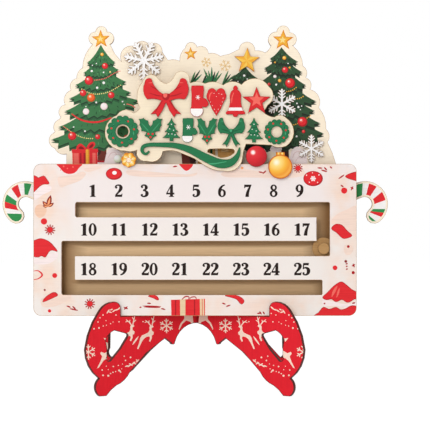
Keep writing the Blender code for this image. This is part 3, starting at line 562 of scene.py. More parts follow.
def bare_ply(finish_name, hex_colour, contrast, laser_cut=True):
    """Sanded basswood ply, neither printed nor sealed: matt, pale tan, with fine long streaks."""
    material, tree, shader = new_finish("sanded_basswood_" + finish_name, roughness=0.72)
    streaks = wood_streaks(tree)
    shades = [(0.25, -contrast), (0.50, 0), (0.80, contrast)]
    colour = streaked(tree, streaks, hex_colour, *shades)
    if laser_cut:
        colour = burnt_sides(tree, colour)
    tree.links.new(result(colour), shader.inputs["Base Color"])
    raise_grain(tree, shader, streaks, SANDED_RIDGES)
    return material


def smoked_ply():
    """Sanded ply behind the tracks, with shade painted into its colour.

    Painted shade darkens it softly towards both ends and under the upper edge of each row,
    and it is darker towards the bottom.  It is matt, with hardly any streaks.  The rear
    stays bare wood.
    """
    material, tree, shader = new_finish("basswood_track_floor_with_painted_shade", roughness=0.75)
    streaks = wood_streaks(tree)
    axes = add(tree, "SeparateXYZ", {0: object_place(tree)}).outputs
    side = add(tree, "Math", {0: axes["X"]}, operation="ABSOLUTE")
    rows = add(tree, "Math", {0: axes["Z"], 1: TRACK_TOP}, operation="SUBTRACT")
    rows = add(tree, "Math", {0: rows, 1: TRACK_PITCH}, operation="DIVIDE")
    rows = add(tree, "Math", {0: rows}, operation="FRACT")
    beside, below, above = [
        add(tree, "MapRange", {
            "Value": value, "From Min": lightest, "From Max": darkest, "To Max": most})
        for value, (lightest, darkest), most in (
            (side, PAINTED_SHADE_SIDE, 1.0), (axes["Z"], TRACK_DARKER_LOW, 1.0),
            (rows, PAINTED_SHADE_TOP, PAINTED_SHADE_TOP_MOST))]
    smoke_and_painted_shade = add(tree, "Math", {0: beside, 1: below}, operation="MAXIMUM")
    smoke_and_painted_shade = add(tree, "Math", {0: smoke_and_painted_shade, 1: above}, operation="MAXIMUM")
    lightest = flat_ink(TRACK_FLOOR_LIGHTENED, 0.04)(tree, streaks)
    floor = add(tree, "Mix", {0: smoke_and_painted_shade, COLOUR_A: lightest, COLOUR_B: linear(PAINTED_SHADE_BROWN)},
                data_type="RGBA")
    forward = facing(tree, FRONT)
    inside = add(tree, "Math", {0: forward, 1: FACE_COSINE}, operation="GREATER_THAN")
    rear = flat_ink(BARE_WOOD, 0.12)(tree, streaks)
    colour = add(tree, "Mix", {0: inside, COLOUR_A: rear, COLOUR_B: floor}, data_type="RGBA")
    tree.links.new(result(burnt_sides(tree, colour)), shader.inputs["Base Color"])
    return material


CREAM = "#FFF0D8"
RED = "#D9262B"
GREEN = "#227348"
STAND_RED = "#E4222F"
INK_COLOURS = {
    "digit": "#21130F", "cream": CREAM, "cream_deep": "#EBCFA6", "cream_light": "#FCF2E2",
    "white": "#FBF7F4", "snow": "#FAEAE8", "snow_shade": "#E9CFCD",
    "red": "#E3292F", "red_deep": "#AE1720", "red_dark": "#8A1218", "red_light": "#F56C60",
    "peach": "#F3C9AE", "stain": "#F6DCCD", "deer": "#FFE3D0",
    "orange": "#F0652B", "orange_deep": "#C24A17", "orange_light": "#F9A56F",
    "orange_rim": "#E48A2E", "star_lit": "#FBCB55",
    "gold": "#F6B23A", "gold_deep": "#DE8621", "gold_light": "#FCDF8C", "gold_faint": "#E9C487",
    "fir": "#3C7748", "fir_deep": "#2C5B38", "fir_dark": "#213A28", "fir_light": "#55965F",
    "spruce": "#304E33", "spruce_deep": "#223827", "spruce_dark": "#21271D",
    "spruce_light": "#457C52", "trunk": "#6E2E22", "trunk_dark": "#3C1B14",
    "green": GREEN, "green_deep": "#155C39", "green_light": "#46A573",
    "green_bright": "#2F8F4C", "kraft": "#E8AE62", "kraft_light": "#F3CB8E",
}
INKS = {ink_name: cured_ink(ink_name, colour) for ink_name, colour in INK_COLOURS.items()}
INKS["char"] = scorch_mark("dark", "#571C17")
INKS["toast"] = scorch_mark("light", "#C79A63")


# Boards and their own finish

def coat(nodes, material):
    """Give nodes their finish."""
    for node_name in nodes:
        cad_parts[node_name].material_slots[0].material = material


def coated_board(nodes, finish_name, thickness, face, out=FRONT, grain_axis=ALONG_X):
    """Board whose nodes have the finish of printed ply."""
    board = Board(nodes, out)
    coat(nodes, printed_ply(finish_name, board, thickness, face, grain_axis))
    return board


SHEET = 3 * MM                # large boards
TRIM_SHEET = 2 * MM           # ornaments
RED_MOTIFS = ["sign_bow", "sign_mitten", "sign_heart", "sign_bell", "sign_star"]
GREEN_MOTIFS = [
    "sign_holly_left", "sign_fir_left", "sign_mitten_green", "sign_holly_middle",
    "sign_bow_green", "sign_fir_right", "sign_wreath", "sign_wreath_small", "sign_ribbon",
]
STAND_LEFT_OUT = (math.sin(STAND_YAW), -math.cos(STAND_YAW), 0.0)
STAND_RIGHT_OUT = (-math.sin(STAND_YAW), -math.cos(STAND_YAW), 0.0)

panel = coated_board(["front_panel"], "washed_pink", SHEET, watercolour)
scenery = coated_board(["scenery_board"], "cream_scenery", SHEET, flat_ink(CREAM))
sign = coated_board(["sign_backing"], "cream_sign", SHEET, flat_ink("#F8E8CC"))
canes = coated_board(
    ["candy_cane_left", "candy_cane_right"], "cream_cane", SHEET, flat_ink("#F8E6D2"))
stand_left = coated_board(
    ["stand_board_left"], "red_left", SHEET, flat_ink(STAND_RED), STAND_LEFT_OUT, ALONG_Z)
stand_right = coated_board(
    ["stand_board_right"], "red_right", SHEET, flat_ink(STAND_RED), STAND_RIGHT_OUT, ALONG_Z)
red_motifs = coated_board(RED_MOTIFS, "red_motifs", TRIM_SHEET, flat_ink(RED))
green_motifs = coated_board(GREEN_MOTIFS, "green_motifs", TRIM_SHEET, flat_ink(GREEN))
snowflakes = coated_board(
    ["snowflake_left", "snowflake_right", "snowflake_low"], "white_snowflakes", TRIM_SHEET,
    flat_ink("#FAF8F7", 0.02))
star_trim = coated_board(["star_raised"], "gold_star", TRIM_SHEET, flat_ink("#F9B938"))
pearl_trim = coated_board(["bauble_pearl"], "pearl", TRIM_SHEET, flat_ink("#DDE3CB"))
red_ball = coated_board(["bauble_red"], "red_ball", SHEET, flat_ink("#D9202A"))
gold_ball = coated_board(["bauble_gold"], "gold_ball", SHEET, flat_ink("#F0A22A"))
flower = coated_board(["flower_gold"], "gold_flower", SHEET, flat_ink("#EFA536"))

BARE_STRIPS = [
    "spacer_top", "spacer_bottom", "spacer_left", "spacer_right", "rib_upper", "rib_lower",
    "sign_standoff_left", "sign_standoff_middle", "sign_standoff_right", "bauble_standoff",
]
coat(BARE_STRIPS, bare_ply("strips", BARE_WOOD, 0.12))
coat(["back_panel"], smoked_ply())
# The marker's wood is painted a darker tan than the other bare wood, as painted shade, to match the
# painted shade at the end of the track
coat(["marker_flange", "marker_knob"], bare_ply("marker", "#B58C5A", 0.08, laser_cut=False))


def middle_and_size(node_name):
    """Middle and size of a node as it is seen from the front, in millimetres."""
    low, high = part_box(node_name)
    middle = ((low.x + high.x) / 2 / MM, (low.z + high.z) / 2 / MM)
    size = ((high.x - low.x) / MM, (high.z - low.z) / MM)
    return middle, size


# Each ball's shading: board, middle and radius in mm, and tones from its glint to its rim
PEARL_MIDDLE, PEARL_SIZE = middle_and_size("bauble_pearl")
PEARL_RADIUS = PEARL_SIZE[1] / 2
RED_BALL_MIDDLE = (47.8, 185.7)
RED_BALL_RADIUS = 8.2
GOLD_BALL_MIDDLE = (66.4, 177.6)
GOLD_BALL_RADIUS = 9.4
GLINT_ASIDE = -0.32           # of a ball's radius, from its middle
GLINT_UP = 0.36
SHADING_REACH = 1.5           # radii from the glint to the last tone
BALL_SHADINGS = [
    ("ball_red", red_ball, RED_BALL_MIDDLE, RED_BALL_RADIUS, [
        (0.08, "#FFF4F0"), (0.14, "#F58A86"), (0.20, "#E0323A"), (0.55, "#D31E2A"),
        (1.0, "#A8121D")]),
    ("ball_gold", gold_ball, GOLD_BALL_MIDDLE, GOLD_BALL_RADIUS, [
        (0.05, "#FFF8DC"), (0.22, "#FCDD85"), (0.50, "#F8BA40"), (0.72, "#F09A30"),
        (0.86, "#F6B24C"), (1.0, "#DE7A22")]),
    ("ball_pearl", pearl_trim, PEARL_MIDDLE, PEARL_RADIUS, [
        (0.22, "#FFFFFF"), (0.50, "#F0F4E2"), (0.78, "#CBD8AE"), (1.0, "#90AA76")]),
]
for ink_name, board, (middle_x, middle_z), radius, tones in BALL_SHADINGS:
    glint = board.place(middle_x + GLINT_ASIDE * radius, middle_z + GLINT_UP * radius, INK_HEIGHT)
    INKS[ink_name] = glass_shading(ink_name, glint, SHADING_REACH * radius * MM, tones)


# Numbers on the panel

# Each digit is drawn in shares of its height, from its lower left corner.
DIGIT_HEIGHT = 9.6            # mm
DIGIT_SPACING = 6.5           # mm, between the middles of two digits of one number
DIGIT_STRETCH = 1.13          # how much wider than the shares below they are cut
DIGIT_WIDTH_SHARE = 0.58
ONE_WIDTH_SHARE = 0.48
STROKE_WEIGHT = 1.2           # how much bolder than the half widths below a stroke is
THIN_HALF_SHARE = 0.045       # half the width of the thinnest join


def digit_stroke(rows):
    """Curved stroke of a digit, nowhere thinner than a join."""
    return brush([
        (x, y, max(half * STROKE_WEIGHT, THIN_HALF_SHARE)) for x, y, half in flow(rows, 3)])


def digit_shapes(digit):
    """Solid loops and hole loops of one digit with thick stems and thin joins."""
    if digit == "0":
        return [oval(0.29, 0.50, 0.295, 0.515)], [oval(0.29, 0.50, 0.10, 0.42)]
    if digit == "1":
        stem = [
            (0.035, 0.0), (0.035, 0.045), (0.105, 0.075), (0.125, 0.13), (0.125, 0.76), (0.09, 0.81),
            (0.01, 0.79), (0.0, 0.86), (0.27, 1.0), (0.37, 1.0), (0.37, 0.13), (0.39, 0.075),
            (0.445, 0.045), (0.445, 0.0),
        ]
        return [stem], []
    if digit == "2":
        neck = digit_stroke([
            (0.05, 0.76, 0.03), (0.10, 0.89, 0.05), (0.26, 0.965, 0.05), (0.41, 0.90, 0.08),
            (0.455, 0.74, 0.105), (0.40, 0.56, 0.09), (0.26, 0.36, 0.06), (0.13, 0.20, 0.05),
            (0.06, 0.09, 0.04)])
        base = [
            (0.03, 0.0), (0.03, 0.07), (0.14, 0.185), (0.42, 0.185), (0.49, 0.20), (0.52, 0.27),
            (0.565, 0.27), (0.53, 0.0),
        ]
        return [oval(0.12, 0.76, 0.08), neck, base], []
    if digit == "3":
        upper = digit_stroke([
            (0.055, 0.80, 0.03), (0.11, 0.91, 0.05), (0.25, 0.965, 0.05), (0.38, 0.90, 0.075),
            (0.42, 0.76, 0.095), (0.35, 0.61, 0.065), (0.20, 0.545, 0.04)])
        lower = digit_stroke([
            (0.18, 0.53, 0.04), (0.34, 0.50, 0.055), (0.455, 0.38, 0.09), (0.465, 0.24, 0.105),
            (0.40, 0.10, 0.08), (0.24, 0.035, 0.05), (0.10, 0.08, 0.045), (0.05, 0.17, 0.03)])
        return [oval(0.12, 0.80, 0.08), oval(0.105, 0.17, 0.08), upper, lower], []
    if digit == "4":
        sail = [
            (-0.01, 0.20), (-0.01, 0.30), (0.34, 1.0), (0.48, 1.0), (0.48, 0.345), (0.58, 0.345),
            (0.58, 0.20), (0.48, 0.20), (0.48, 0.09), (0.56, 0.045), (0.56, 0.0), (0.19, 0.0),
            (0.19, 0.045), (0.27, 0.09), (0.27, 0.20),
        ]
        return [sail], [[(0.095, 0.345), (0.27, 0.345), (0.27, 0.70)]]
    if digit == "5":
        bar = [(0.10, 1.0), (0.50, 1.0), (0.47, 0.81), (0.12, 0.81)]
        bowl = digit_stroke([
            (0.085, 0.53, 0.03), (0.17, 0.595, 0.045), (0.30, 0.605, 0.065), (0.43, 0.51, 0.095),
            (0.465, 0.33, 0.105), (0.41, 0.14, 0.085), (0.26, 0.035, 0.05), (0.12, 0.065, 0.045),
            (0.055, 0.15, 0.03)])
        stem = line((0.115, 0.98), (0.085, 0.50), 0.042, 0.9)
        return [bar, stem, oval(0.11, 0.17, 0.08), bowl], []
    if digit == "7":
        bar = [
            (0.03, 1.0), (0.55, 1.0), (0.55, 0.93), (0.46, 0.80), (0.13, 0.80), (0.09, 0.71),
            (0.03, 0.71),
        ]
        leg = digit_stroke([
            (0.49, 0.93, 0.04), (0.36, 0.62, 0.07), (0.28, 0.35, 0.09), (0.245, 0.10, 0.105),
            (0.24, 0.0, 0.105)])
        return [bar, leg], []
    if digit == "8":
        rings = [oval(0.29, 0.755, 0.235, 0.255), oval(0.29, 0.275, 0.285, 0.29)]
        return rings, [oval(0.30, 0.765, 0.085, 0.14), oval(0.28, 0.26, 0.11, 0.17)]
    tail = digit_stroke([
        (0.115, 0.36, 0.095), (0.135, 0.58, 0.09), (0.22, 0.77, 0.075), (0.35, 0.91, 0.055),
        (0.49, 0.97, 0.04)])
    solid = [oval(0.29, 0.31, 0.285, 0.33), tail]
    holes = [oval(0.30, 0.30, 0.095, 0.22)]
    if digit == "9":
        solid, holes = [
            [[(DIGIT_WIDTH_SHARE - x, 1.0 - y) for x, y in loop] for loop in group]
            for group in (solid, holes)]
    return solid, holes


def print_number(sheet, number, centre_x, centre_z):
    """Print a whole number with its middle at a place on the panel, in millimetres."""
    digits = str(number)
    scale_x = DIGIT_HEIGHT * DIGIT_STRETCH
    low = centre_z - DIGIT_HEIGHT / 2
    for index, digit in enumerate(digits):
        width_share = ONE_WIDTH_SHARE if digit == "1" else DIGIT_WIDTH_SHARE
        left = centre_x - width_share / 2 * scale_x
        left += (index - (len(digits) - 1) / 2) * DIGIT_SPACING
        solid, holes = [
            [[(left + x * scale_x, low + y * DIGIT_HEIGHT) for x, y in loop] for loop in group]
            for group in digit_shapes(digit)]
        sheet.lay("digit", *solid, holes=holes)


# first number, last number, middle of the first and of the last, height above the ground, in mm
NUMBER_ROWS = [
    (1, 9, -79.7, 81.5, 158.9),
    (10, 17, -83.1, 83.5, 128.7),
    (18, 25, -83.1, 83.4, 97.8),
]
TRACK_END_CHAR_AND_SHADE = 0.55         # mm, half the width of the charred line, widened as painted shade
TRACK_END_HEIGHT = 4.0        # mm, shorter upright edges are corners


def print_track_ends(sheet):
    """Dark line along the left end of every track: the laser's char, widened as painted shade."""
    for loop in sheet.board.loops:
        for (x, y), (next_x, next_y) in sides(loop):
            if area(loop) < 0 and next_y - y > TRACK_END_HEIGHT:
                sheet.lay("char", [(x - TRACK_END_CHAR_AND_SHADE, y), (x + TRACK_END_CHAR_AND_SHADE, y),
                                   (next_x + TRACK_END_CHAR_AND_SHADE, next_y),
                                   (next_x - TRACK_END_CHAR_AND_SHADE, next_y)])


def print_numbers(sheet):
    """The rows of days, above the tracks that lead past them."""
    for first, last, start_x, end_x, centre_z in NUMBER_ROWS:
        for number in range(first, last + 1):
            share = (number - first) / (last - first)
            print_number(sheet, number, start_x + (end_x - start_x) * share, centre_z)


# Things that are printed on several boards

GARLAND_STEPS = 40            # points on each stretch of a garland's path
BALL_TINTS = {
    "red": ("red_deep", "red", "red_light"),
    "orange": ("orange_deep", "orange", "orange_light"),
    "gold": ("gold_deep", "gold", "gold_light"),
    "white": ("snow_shade", "snow", "white"),
}
# ink of the tint, shift towards the light, radius, all in radii, then the corners and the
# smallest ball, in picture units, that has it
BALL_LAYERS = [
    (0, 0.0, 0.0, 1.0, 24, 0.0),
    (1, 0.08, 0.09, 0.84, 24, 0.0),
    (2, 0.25, 0.30, 0.40, 16, 1.1),
    (3, 0.30, 0.36, 0.17, 10, 2.2),
]


def ball(sheet, tint, x, y, radius):
    """Glass ball, lit from its upper left."""
    inks = (*BALL_TINTS[tint], "white")
    for number, aside, up, share, steps, least in BALL_LAYERS:
        if radius > least:
            middle = (x - aside * radius, y - up * radius)
            sheet.paint(inks[number], oval(*middle, share * radius, steps=steps))


def garland(sheet, ink, path, bead, pitch):
    """Beads at a steady pitch along a soft path."""
    curve = flow(path, GARLAND_STEPS)
    travelled = pitch
    for start, end in zip(curve, curve[1:]):
        travelled += math.dist(start, end)
        if travelled >= pitch:
            travelled -= pitch
            sheet.paint(ink, oval(*end, bead, steps=8))


# ink, shift towards the light and size of a star's layers, in radii
STAR_LAYERS = [
    ("gold_deep", 0.0, 0.0, 1.0), ("gold", 0.03, 0.03, 0.80), ("gold_light", 0.05, 0.02, 0.36)]


def printed_star(sheet, x, y, radius, turn):
    """Gold star with a deeper rim and a lighter middle."""
    for ink, aside, up, share in STAR_LAYERS:
        middle = (x - aside * radius, y - up * radius)
        sheet.paint(ink, star(*middle, share * radius, turn=turn))


BURST_SPIKES = 11
BURST_CORE = 0.75             # of the burst's radius
BURST_WAIST = 0.7             # of the core's radius
BURST_MIDDLE = 0.5            # of the burst's radius, where the strokes start
BURST_TURN = 0.3              # of the angle between two strokes
BURST_HALF = 0.6              # picture units, half the width of a stroke
BURST_TIP = 0.6               # of that width


def burst(sheet, x, y, radius):
    """Red spot with short deep red strokes around it."""
    sheet.paint("red_deep", star(x, y, BURST_CORE * radius, BURST_WAIST, BURST_SPIKES))
    for spike in range(BURST_SPIKES):
        angle = 2 * math.pi * (spike + BURST_TURN) / BURST_SPIKES
        near, far = [away(x, y, share * radius, angle) for share in (BURST_MIDDLE, 1.0)]
        sheet.paint("red_deep", line(near, far, BURST_HALF, BURST_TIP))
    sheet.paint("red", oval(x, y, BURST_MIDDLE * radius, steps=12))


CRYSTAL_FORK = 0.56           # where an arm forks, in shares of its length
CRYSTAL_BARB = 0.36
CRYSTAL_LEAN = 0.9            # radians between a barb and its arm
CRYSTAL_BARB_HALF = 0.85      # of the arm's width
CRYSTAL_TIP = 0.9             # of the arm's or the barb's width


def ice_star(sheet, ink, x, y, radius, half, turn=0.0):
    """Six-armed snow crystal with a barb on each side of every arm."""
    for arm in range(6):
        angle = math.pi * arm / 3 + turn
        tip = away(x, y, radius, angle)
        sheet.paint(ink, line((x, y), tip, half, CRYSTAL_TIP))
        root = between((x, y), tip, CRYSTAL_FORK)
        for lean in (-CRYSTAL_LEAN, CRYSTAL_LEAN):
            barb = away(*root, CRYSTAL_BARB * radius, angle + lean)
            sheet.paint(ink, line(root, barb, half * CRYSTAL_BARB_HALF, CRYSTAL_TIP))


# along, of the length, and aside, of half the width
LEAF_EDGE = [
    (0, 0), (0.25, 0.8), (0.5, 1), (0.78, 0.62), (1, 0), (0.78, -0.62), (0.5, -1), (0.25, -0.8)]


def leaf(x, y, length, half, turn):
    """Pointed leaf from its stem."""
    loop = []
    for along, aside in LEAF_EDGE:
        vein = away(x, y, along * length, turn)
        loop.append(away(*vein, aside * half, turn + math.pi / 2))
    return loop


# The firs
# Each tier is its top, its left tip, its right tip and the low point of its ragged edge,
# in picture units, from the top of the tree down.
FIR_LEFT_TIERS = [
    ((100.8, 44.6), (86.8, 62.8), (115.6, 62.4), 66),
    ((100.8, 55), (83.2, 73), (119, 70), 77),
    ((100.8, 66), (74.9, 85.2), (126.6, 81.8), 90),
    ((100.6, 77), (69, 98.6), (131.4, 92.4), 103),
    ((100.4, 88), (64.2, 111.4), (139.8, 100.4), 117),
    ((100.2, 101), (58, 127.2), (141, 116), 131),
    ((100, 114), (51, 139.6), (146, 132), 148.5),
]
FIR_MIDDLE_TIERS = [
    ((245.2, 66.4), (230.2, 77.6), (258, 78.4), 81),
    ((245.2, 71), (226.4, 84.6), (262.6, 86.4), 92),
    ((245, 86), (220, 104), (269, 104), 112),
    ((244.6, 98), (213, 122), (276, 121), 130),
    ((244, 112), (207, 141), (283, 140), 149),
]
FIR_RIGHT_TIERS = [
    ((281.4, 47.2), (269.6, 58.6), (298.2, 61.7), 64),
    ((281.6, 55), (264, 68.2), (302.6, 72.2), 75),
    ((282, 64), (258.8, 82.4), (306.2, 85.3), 92),
    ((283, 76), (251, 100), (316.6, 101.5), 106),
    ((284, 88), (246, 113), (315, 111), 119),
    ((284.5, 98), (242, 127), (320.6, 123.4), 132),
    ((285, 108), (240, 141), (324, 133.6), 149),
]
FIR_BACK_TIERS = [
    ((187, 92), (172, 112), (202, 112), 118),
    ((187, 104), (160, 134), (213, 134), 142),
    ((187, 116), (160, 142), (214, 142), 148),
]
TIER_TEETH = 9
TIER_SAG = 0.26               # how far a slope hangs below a straight one, of its height
TIER_LIFT = 0.14              # how far a lower tier starts above its place, of its height
TIER_SHADES = [("_deep", 3.0), ("_dark", 1.3)]  # drop below the tier, in picture units
SLOPE_STEPS = 7
EDGE_ROUNDNESS = 0.6          # power of the curve that the teeth hang from
TOOTH_HOOK = 0.45             # how far a tooth's tip leans outwards, of its width
NOTCH_LEAN = 0.30             # how far the notch beside it leans inwards
NOTCH_RISE = (0.16, 0.40)     # its height in the middle, and what the sides add
NOTCH_MOST = 0.75             # its greatest height, of the edge's sag
TOOTH_RAGGED = 0.8            # picture units that chance adds to a tooth and to a notch
NOTCH_RAGGED = 0.6
NEEDLES_PER_TIER = 40
NEEDLE_ASIDE = 0.75           # of half a tier's width, from its middle
NEEDLE_DOWN = (0.35, 0.88)    # of its height, from its top
NEEDLE_LENGTH = (1.6, 3.8)    # picture units
NEEDLE_LEAN = 0.15            # radians
NEEDLE_GATHER = 1.3           # power that draws the upper needles in
NEEDLE_MOST = 0.9             # of the way down to the tier's edge
NEEDLE_HALF = 0.34            # picture units, half the width
NEEDLE_TIP = 0.2              # of that width
NEEDLE_SHADES = ("_light", "_deep", "_deep", "_deep", "_dark")


def fir_tier(top, left, right, low, draw):
    """Outline of one tier: two sagging slopes and a lower edge of teeth that hook outwards."""
    left_pull, right_pull = [
        (between(top, tip, 0.5)[0], between(top, tip, 0.5)[1] + TIER_SAG * (tip[1] - top[1]))
        for tip in (left, right)]
    loop = bend(top, right_pull, right, SLOPE_STEPS)
    middle_y = (left[1] + right[1]) / 2
    pitch = (right[0] - left[0]) / TIER_TEETH
    for corner in range(1, 2 * TIER_TEETH):
        share = corner / (2 * TIER_TEETH)
        outward = 1 - 2 * share
        x, chord = between(right, left, share)
        sag = (low - middle_y) * (1 - outward ** 2) ** EDGE_ROUNDNESS
        if corner % 2:
            rise = pitch * (NOTCH_RISE[0] + NOTCH_RISE[1] * abs(outward))
            rise += draw.uniform(0.0, NOTCH_RAGGED)
            x -= NOTCH_LEAN * pitch * outward
            loop.append((x, chord + sag - min(rise, NOTCH_MOST * sag)))
        else:
            x += TOOTH_HOOK * pitch * outward
            loop.append((x, chord + sag + draw.uniform(0.0, TOOTH_RAGGED)))
    loop.extend(bend(left, left_pull, top, SLOPE_STEPS)[:-1])
    return loop


def print_fir(sheet, leaf_ink, tiers, seed):
    """A fir whose upper tiers lie over the lower ones, with strokes for its needles."""
    draw = random.Random(seed)
    for number, (top, left, right, low) in reversed(list(enumerate(tiers))):
        lift = TIER_LIFT * (left[1] - top[1]) if number else 0.0
        outline = fir_tier((top[0], top[1] - lift), left, right, low, draw)
        for shade, drop in TIER_SHADES:
            sheet.paint(leaf_ink + shade, [(x, y + drop) for x, y in outline])
        sheet.paint(leaf_ink, outline)
        span = right[0] - left[0]
        middle_y = (left[1] + right[1]) / 2
        for needle in range(NEEDLES_PER_TIER):
            aside = draw.uniform(-NEEDLE_ASIDE, NEEDLE_ASIDE)
            down = draw.uniform(*NEEDLE_DOWN)
            edge_y = middle_y + (low - middle_y) * (1 - aside ** 2)
            start = (top[0] + aside * span / 2 * down ** NEEDLE_GATHER,
                     top[1] + (edge_y - top[1]) * down)
            length = min(draw.uniform(*NEEDLE_LENGTH), (edge_y - start[1]) * NEEDLE_MOST)
            angle = math.pi / 2 - aside + draw.uniform(-NEEDLE_LEAN, NEEDLE_LEAN)
            ink = leaf_ink + draw.choice(NEEDLE_SHADES)
            tip = away(*start, length, angle)
            sheet.paint(ink, line(start, tip, NEEDLE_HALF, NEEDLE_TIP))


# Darker patches in the dark fir, behind its snowflake
FIR_RIGHT_DARK_PATCHES = [
    [(262, 108), (268, 101), (274, 108), (272, 120), (262, 128),
     (256, 118)],
    [(276, 120), (284, 124), (288, 134), (280, 142), (271, 136)],
    [(290, 126), (294, 130), (291, 143), (286, 146), (285, 134)],
]
# tint, place and radius in picture units
FIR_LEFT_BALLS = [
    ("gold", 102, 54.4, 1.7), ("red", 105, 66, 3.1), ("red", 89, 80.6, 4.4),
    ("red", 83.1, 93, 3.3), ("orange", 91.1, 97.8, 4.1), ("red", 111.2, 95.1, 3.3),
    ("white", 104, 106.4, 3.6), ("white", 86, 111.5, 3.2), ("red", 72.2, 136, 4.2),
    ("red", 97.7, 136.8, 2.6), ("red", 126.5, 138, 3.2),
]
FIR_LEFT_LIGHTS = [
    ("white", 91.7, 71, 1.1), ("white", 103.6, 72.3, 0.8), ("white", 103.7, 82.8, 1.4),
    ("white", 97.1, 87.7, 1.2), ("white", 96.2, 102.4, 0.9), ("white", 122.5, 101.6, 0.8),
    ("gold_light", 110.2, 72, 0.9), ("white", 96.4, 63.4, 0.6), ("white", 85, 131.2, 0.9),
    ("white", 73.6, 127, 0.7), ("white", 124.2, 104.4, 0.6), ("white", 92.4, 65.4, 0.6),
    ("white", 85.9, 106.6, 0.6), ("white", 108.2, 126.4, 0.8), ("white", 118, 121, 0.7),
]
FIR_LEFT_GARLANDS = [
    ("red_light", [(94.6, 80.2), (105, 78.4), (115.5, 72.6), (121.5, 70.8)], 0.60, 1.7),
    ("gold_light", [(81.6, 89), (90, 93.2), (99, 94), (110, 91.4), (121.4, 84.7)],
     0.62, 2.1),
    ("gold_light", [(67.4, 129.2), (75.6, 134.6), (84.6, 138), (94.2, 138.6)], 0.62, 2.1),
    ("red_light", [(63.4, 126.4), (68, 129.6), (71, 132)], 0.52, 1.4),
    ("red_light", [(127, 104), (131.4, 105.2), (135, 107.4)], 0.60, 1.2),
]
FIR_LEFT_SASH = [(71.6, 113.8, 0.5), (80, 119.4, 0.8), (90, 122, 0.9), (100, 121.6, 0.9),
                 (111.4, 117.6, 0.6)]
FIR_RIGHT_BALLS = [
    ("gold", 284.3, 57.9, 1.9), ("red", 285.1, 69.9, 3.1), ("red", 290.1, 83.1, 4.9),
    ("gold", 279.6, 80.6, 1.7), ("red", 269, 84.3, 1.6), ("gold", 266.3, 89.2, 1.3),
    ("red", 302.4, 121.8, 4.9), ("red", 303.5, 131.5, 1.7), ("white", 274.9, 76.4, 1.6),
    ("gold", 289.6, 67.6, 1.0), ("gold", 275, 62.4, 0.9),
]
FIR_RIGHT_LIGHTS = [
    ("white", 276.2, 84.6, 1.0), ("white", 297, 103.4, 0.8), ("white", 298.4, 107, 1.1),
    ("white", 296.6, 136.4, 1.0), ("white", 288, 63.4, 0.6), ("white", 301.6, 106, 0.6),
    ("white", 300.4, 109.6, 0.6), ("gold_light", 263.4, 91.2, 0.8),
]
FIR_RIGHT_GARLANDS = [
    ("gold", [(286.6, 91.6), (292, 90.4), (297.4, 86.6)], 0.62, 2.1),
    ("gold", [(295.2, 98.8), (299.6, 98.4), (304, 96)], 0.62, 2.1),
    ("gold", [(289.6, 125), (294, 124.8), (298, 123.4)], 0.62, 2.1),
    ("gold", [(307, 118), (309.2, 116.8), (311.4, 114.8)], 0.62, 2.1),
    ("orange_light", [(262.4, 88.4), (265.6, 87.2), (268.6, 85.2)], 0.55, 1.4),
]
FIR_MIDDLE_LIGHTS = [
    ("white", 244.2, 75.6, 1.2), ("white", 247.2, 79, 0.7), ("white", 238, 81.4, 0.6),
    ("white", 234.6, 82.2, 0.5), ("white", 251.2, 86.6, 0.7), ("white", 240.6, 84.6, 0.5),
]
TREE_TOP_STARS = [(100.9, 39.2, 9.6, -0.04), (283.1, 40.2, 10.8, 0.03)]
SKY_STAR = (190.8, 53.8, 7.0, -0.06)
GOLD_CRYSTALS = [(206.3, 62.3, 5.2), (225.3, 65.7, 6.2)]

TRUNK_LEFT = [(97.8, 146), (106.4, 146), (106.4, 160.8), (97.6, 160.8)]
TRUNK_LEFT_SHADE = [(97.8, 146), (103, 146), (100.4, 154), (97.6, 156)]
TRUNK_BACK = [(181, 150), (194, 150), (196.5, 168), (182.5, 168)]
TRUNK_BACK_SHADE = [(188, 150), (194, 150), (196.5, 168), (191, 168)]
TRUNK_RIGHT = [(281.6, 142), (288.4, 142), (289, 158), (281, 158)]
DOORSTEP = [(96.4, 161), (108, 161.6), (108.4, 166), (96.4, 166)]
DOORSTEP_TOP = [(97, 160.4), (107.6, 160.8), (107.8, 162.6), (97, 162.4)]

PARCEL_BODY = [(72.3, 151.6), (97.4, 151.2), (97.6, 166), (72.5, 166)]
PARCEL_LID = [(71.7, 149.3), (97.9, 148.7), (98.1, 152.3), (71.9, 152.9)]
PARCEL_PALE_FOLDS = [
    [(73.4, 153.2), (78.6, 153.1), (78.8, 166), (73.6, 166)],
    [(92.4, 152.9), (95.6, 152.8), (95.8, 166), (92.6, 166)],
]
PARCEL_FOLDS = [
    [(79.8, 153), (81.4, 153), (81.6, 166), (80, 166)],
    [(83.6, 153), (85.6, 153), (85.8, 166), (83.8, 166)],
]
PARCEL_RIBBON = [(85.7, 149), (89.3, 148.8), (89.5, 166), (85.9, 166)]
PARCEL_RIBBON_SHADE = [(88.2, 149), (89.3, 148.8), (89.5, 166), (88.4, 166)]
PARCEL_BOW_LEFT = [(86.6, 149.6), (81.4, 149.8), (76.6, 149.6), (77.2, 145.6), (80.4, 143.6),
                   (83.8, 145.6)]
PARCEL_BOW_LEFT_INSIDE = [(84.4, 149), (80.6, 149.2), (78.4, 148.6), (80, 146.4), (82.4, 146.8)]
PARCEL_BOW_RIGHT = [(87, 149.4), (87.2, 146), (90, 142.6), (93.8, 142), (95.2, 144.8),
                    (92.2, 148.6)]
PARCEL_BOW_RIGHT_INSIDE = [(89.2, 148.2), (90, 145.6), (92.6, 143.8), (93.4, 145.4), (91.4, 147.6)]

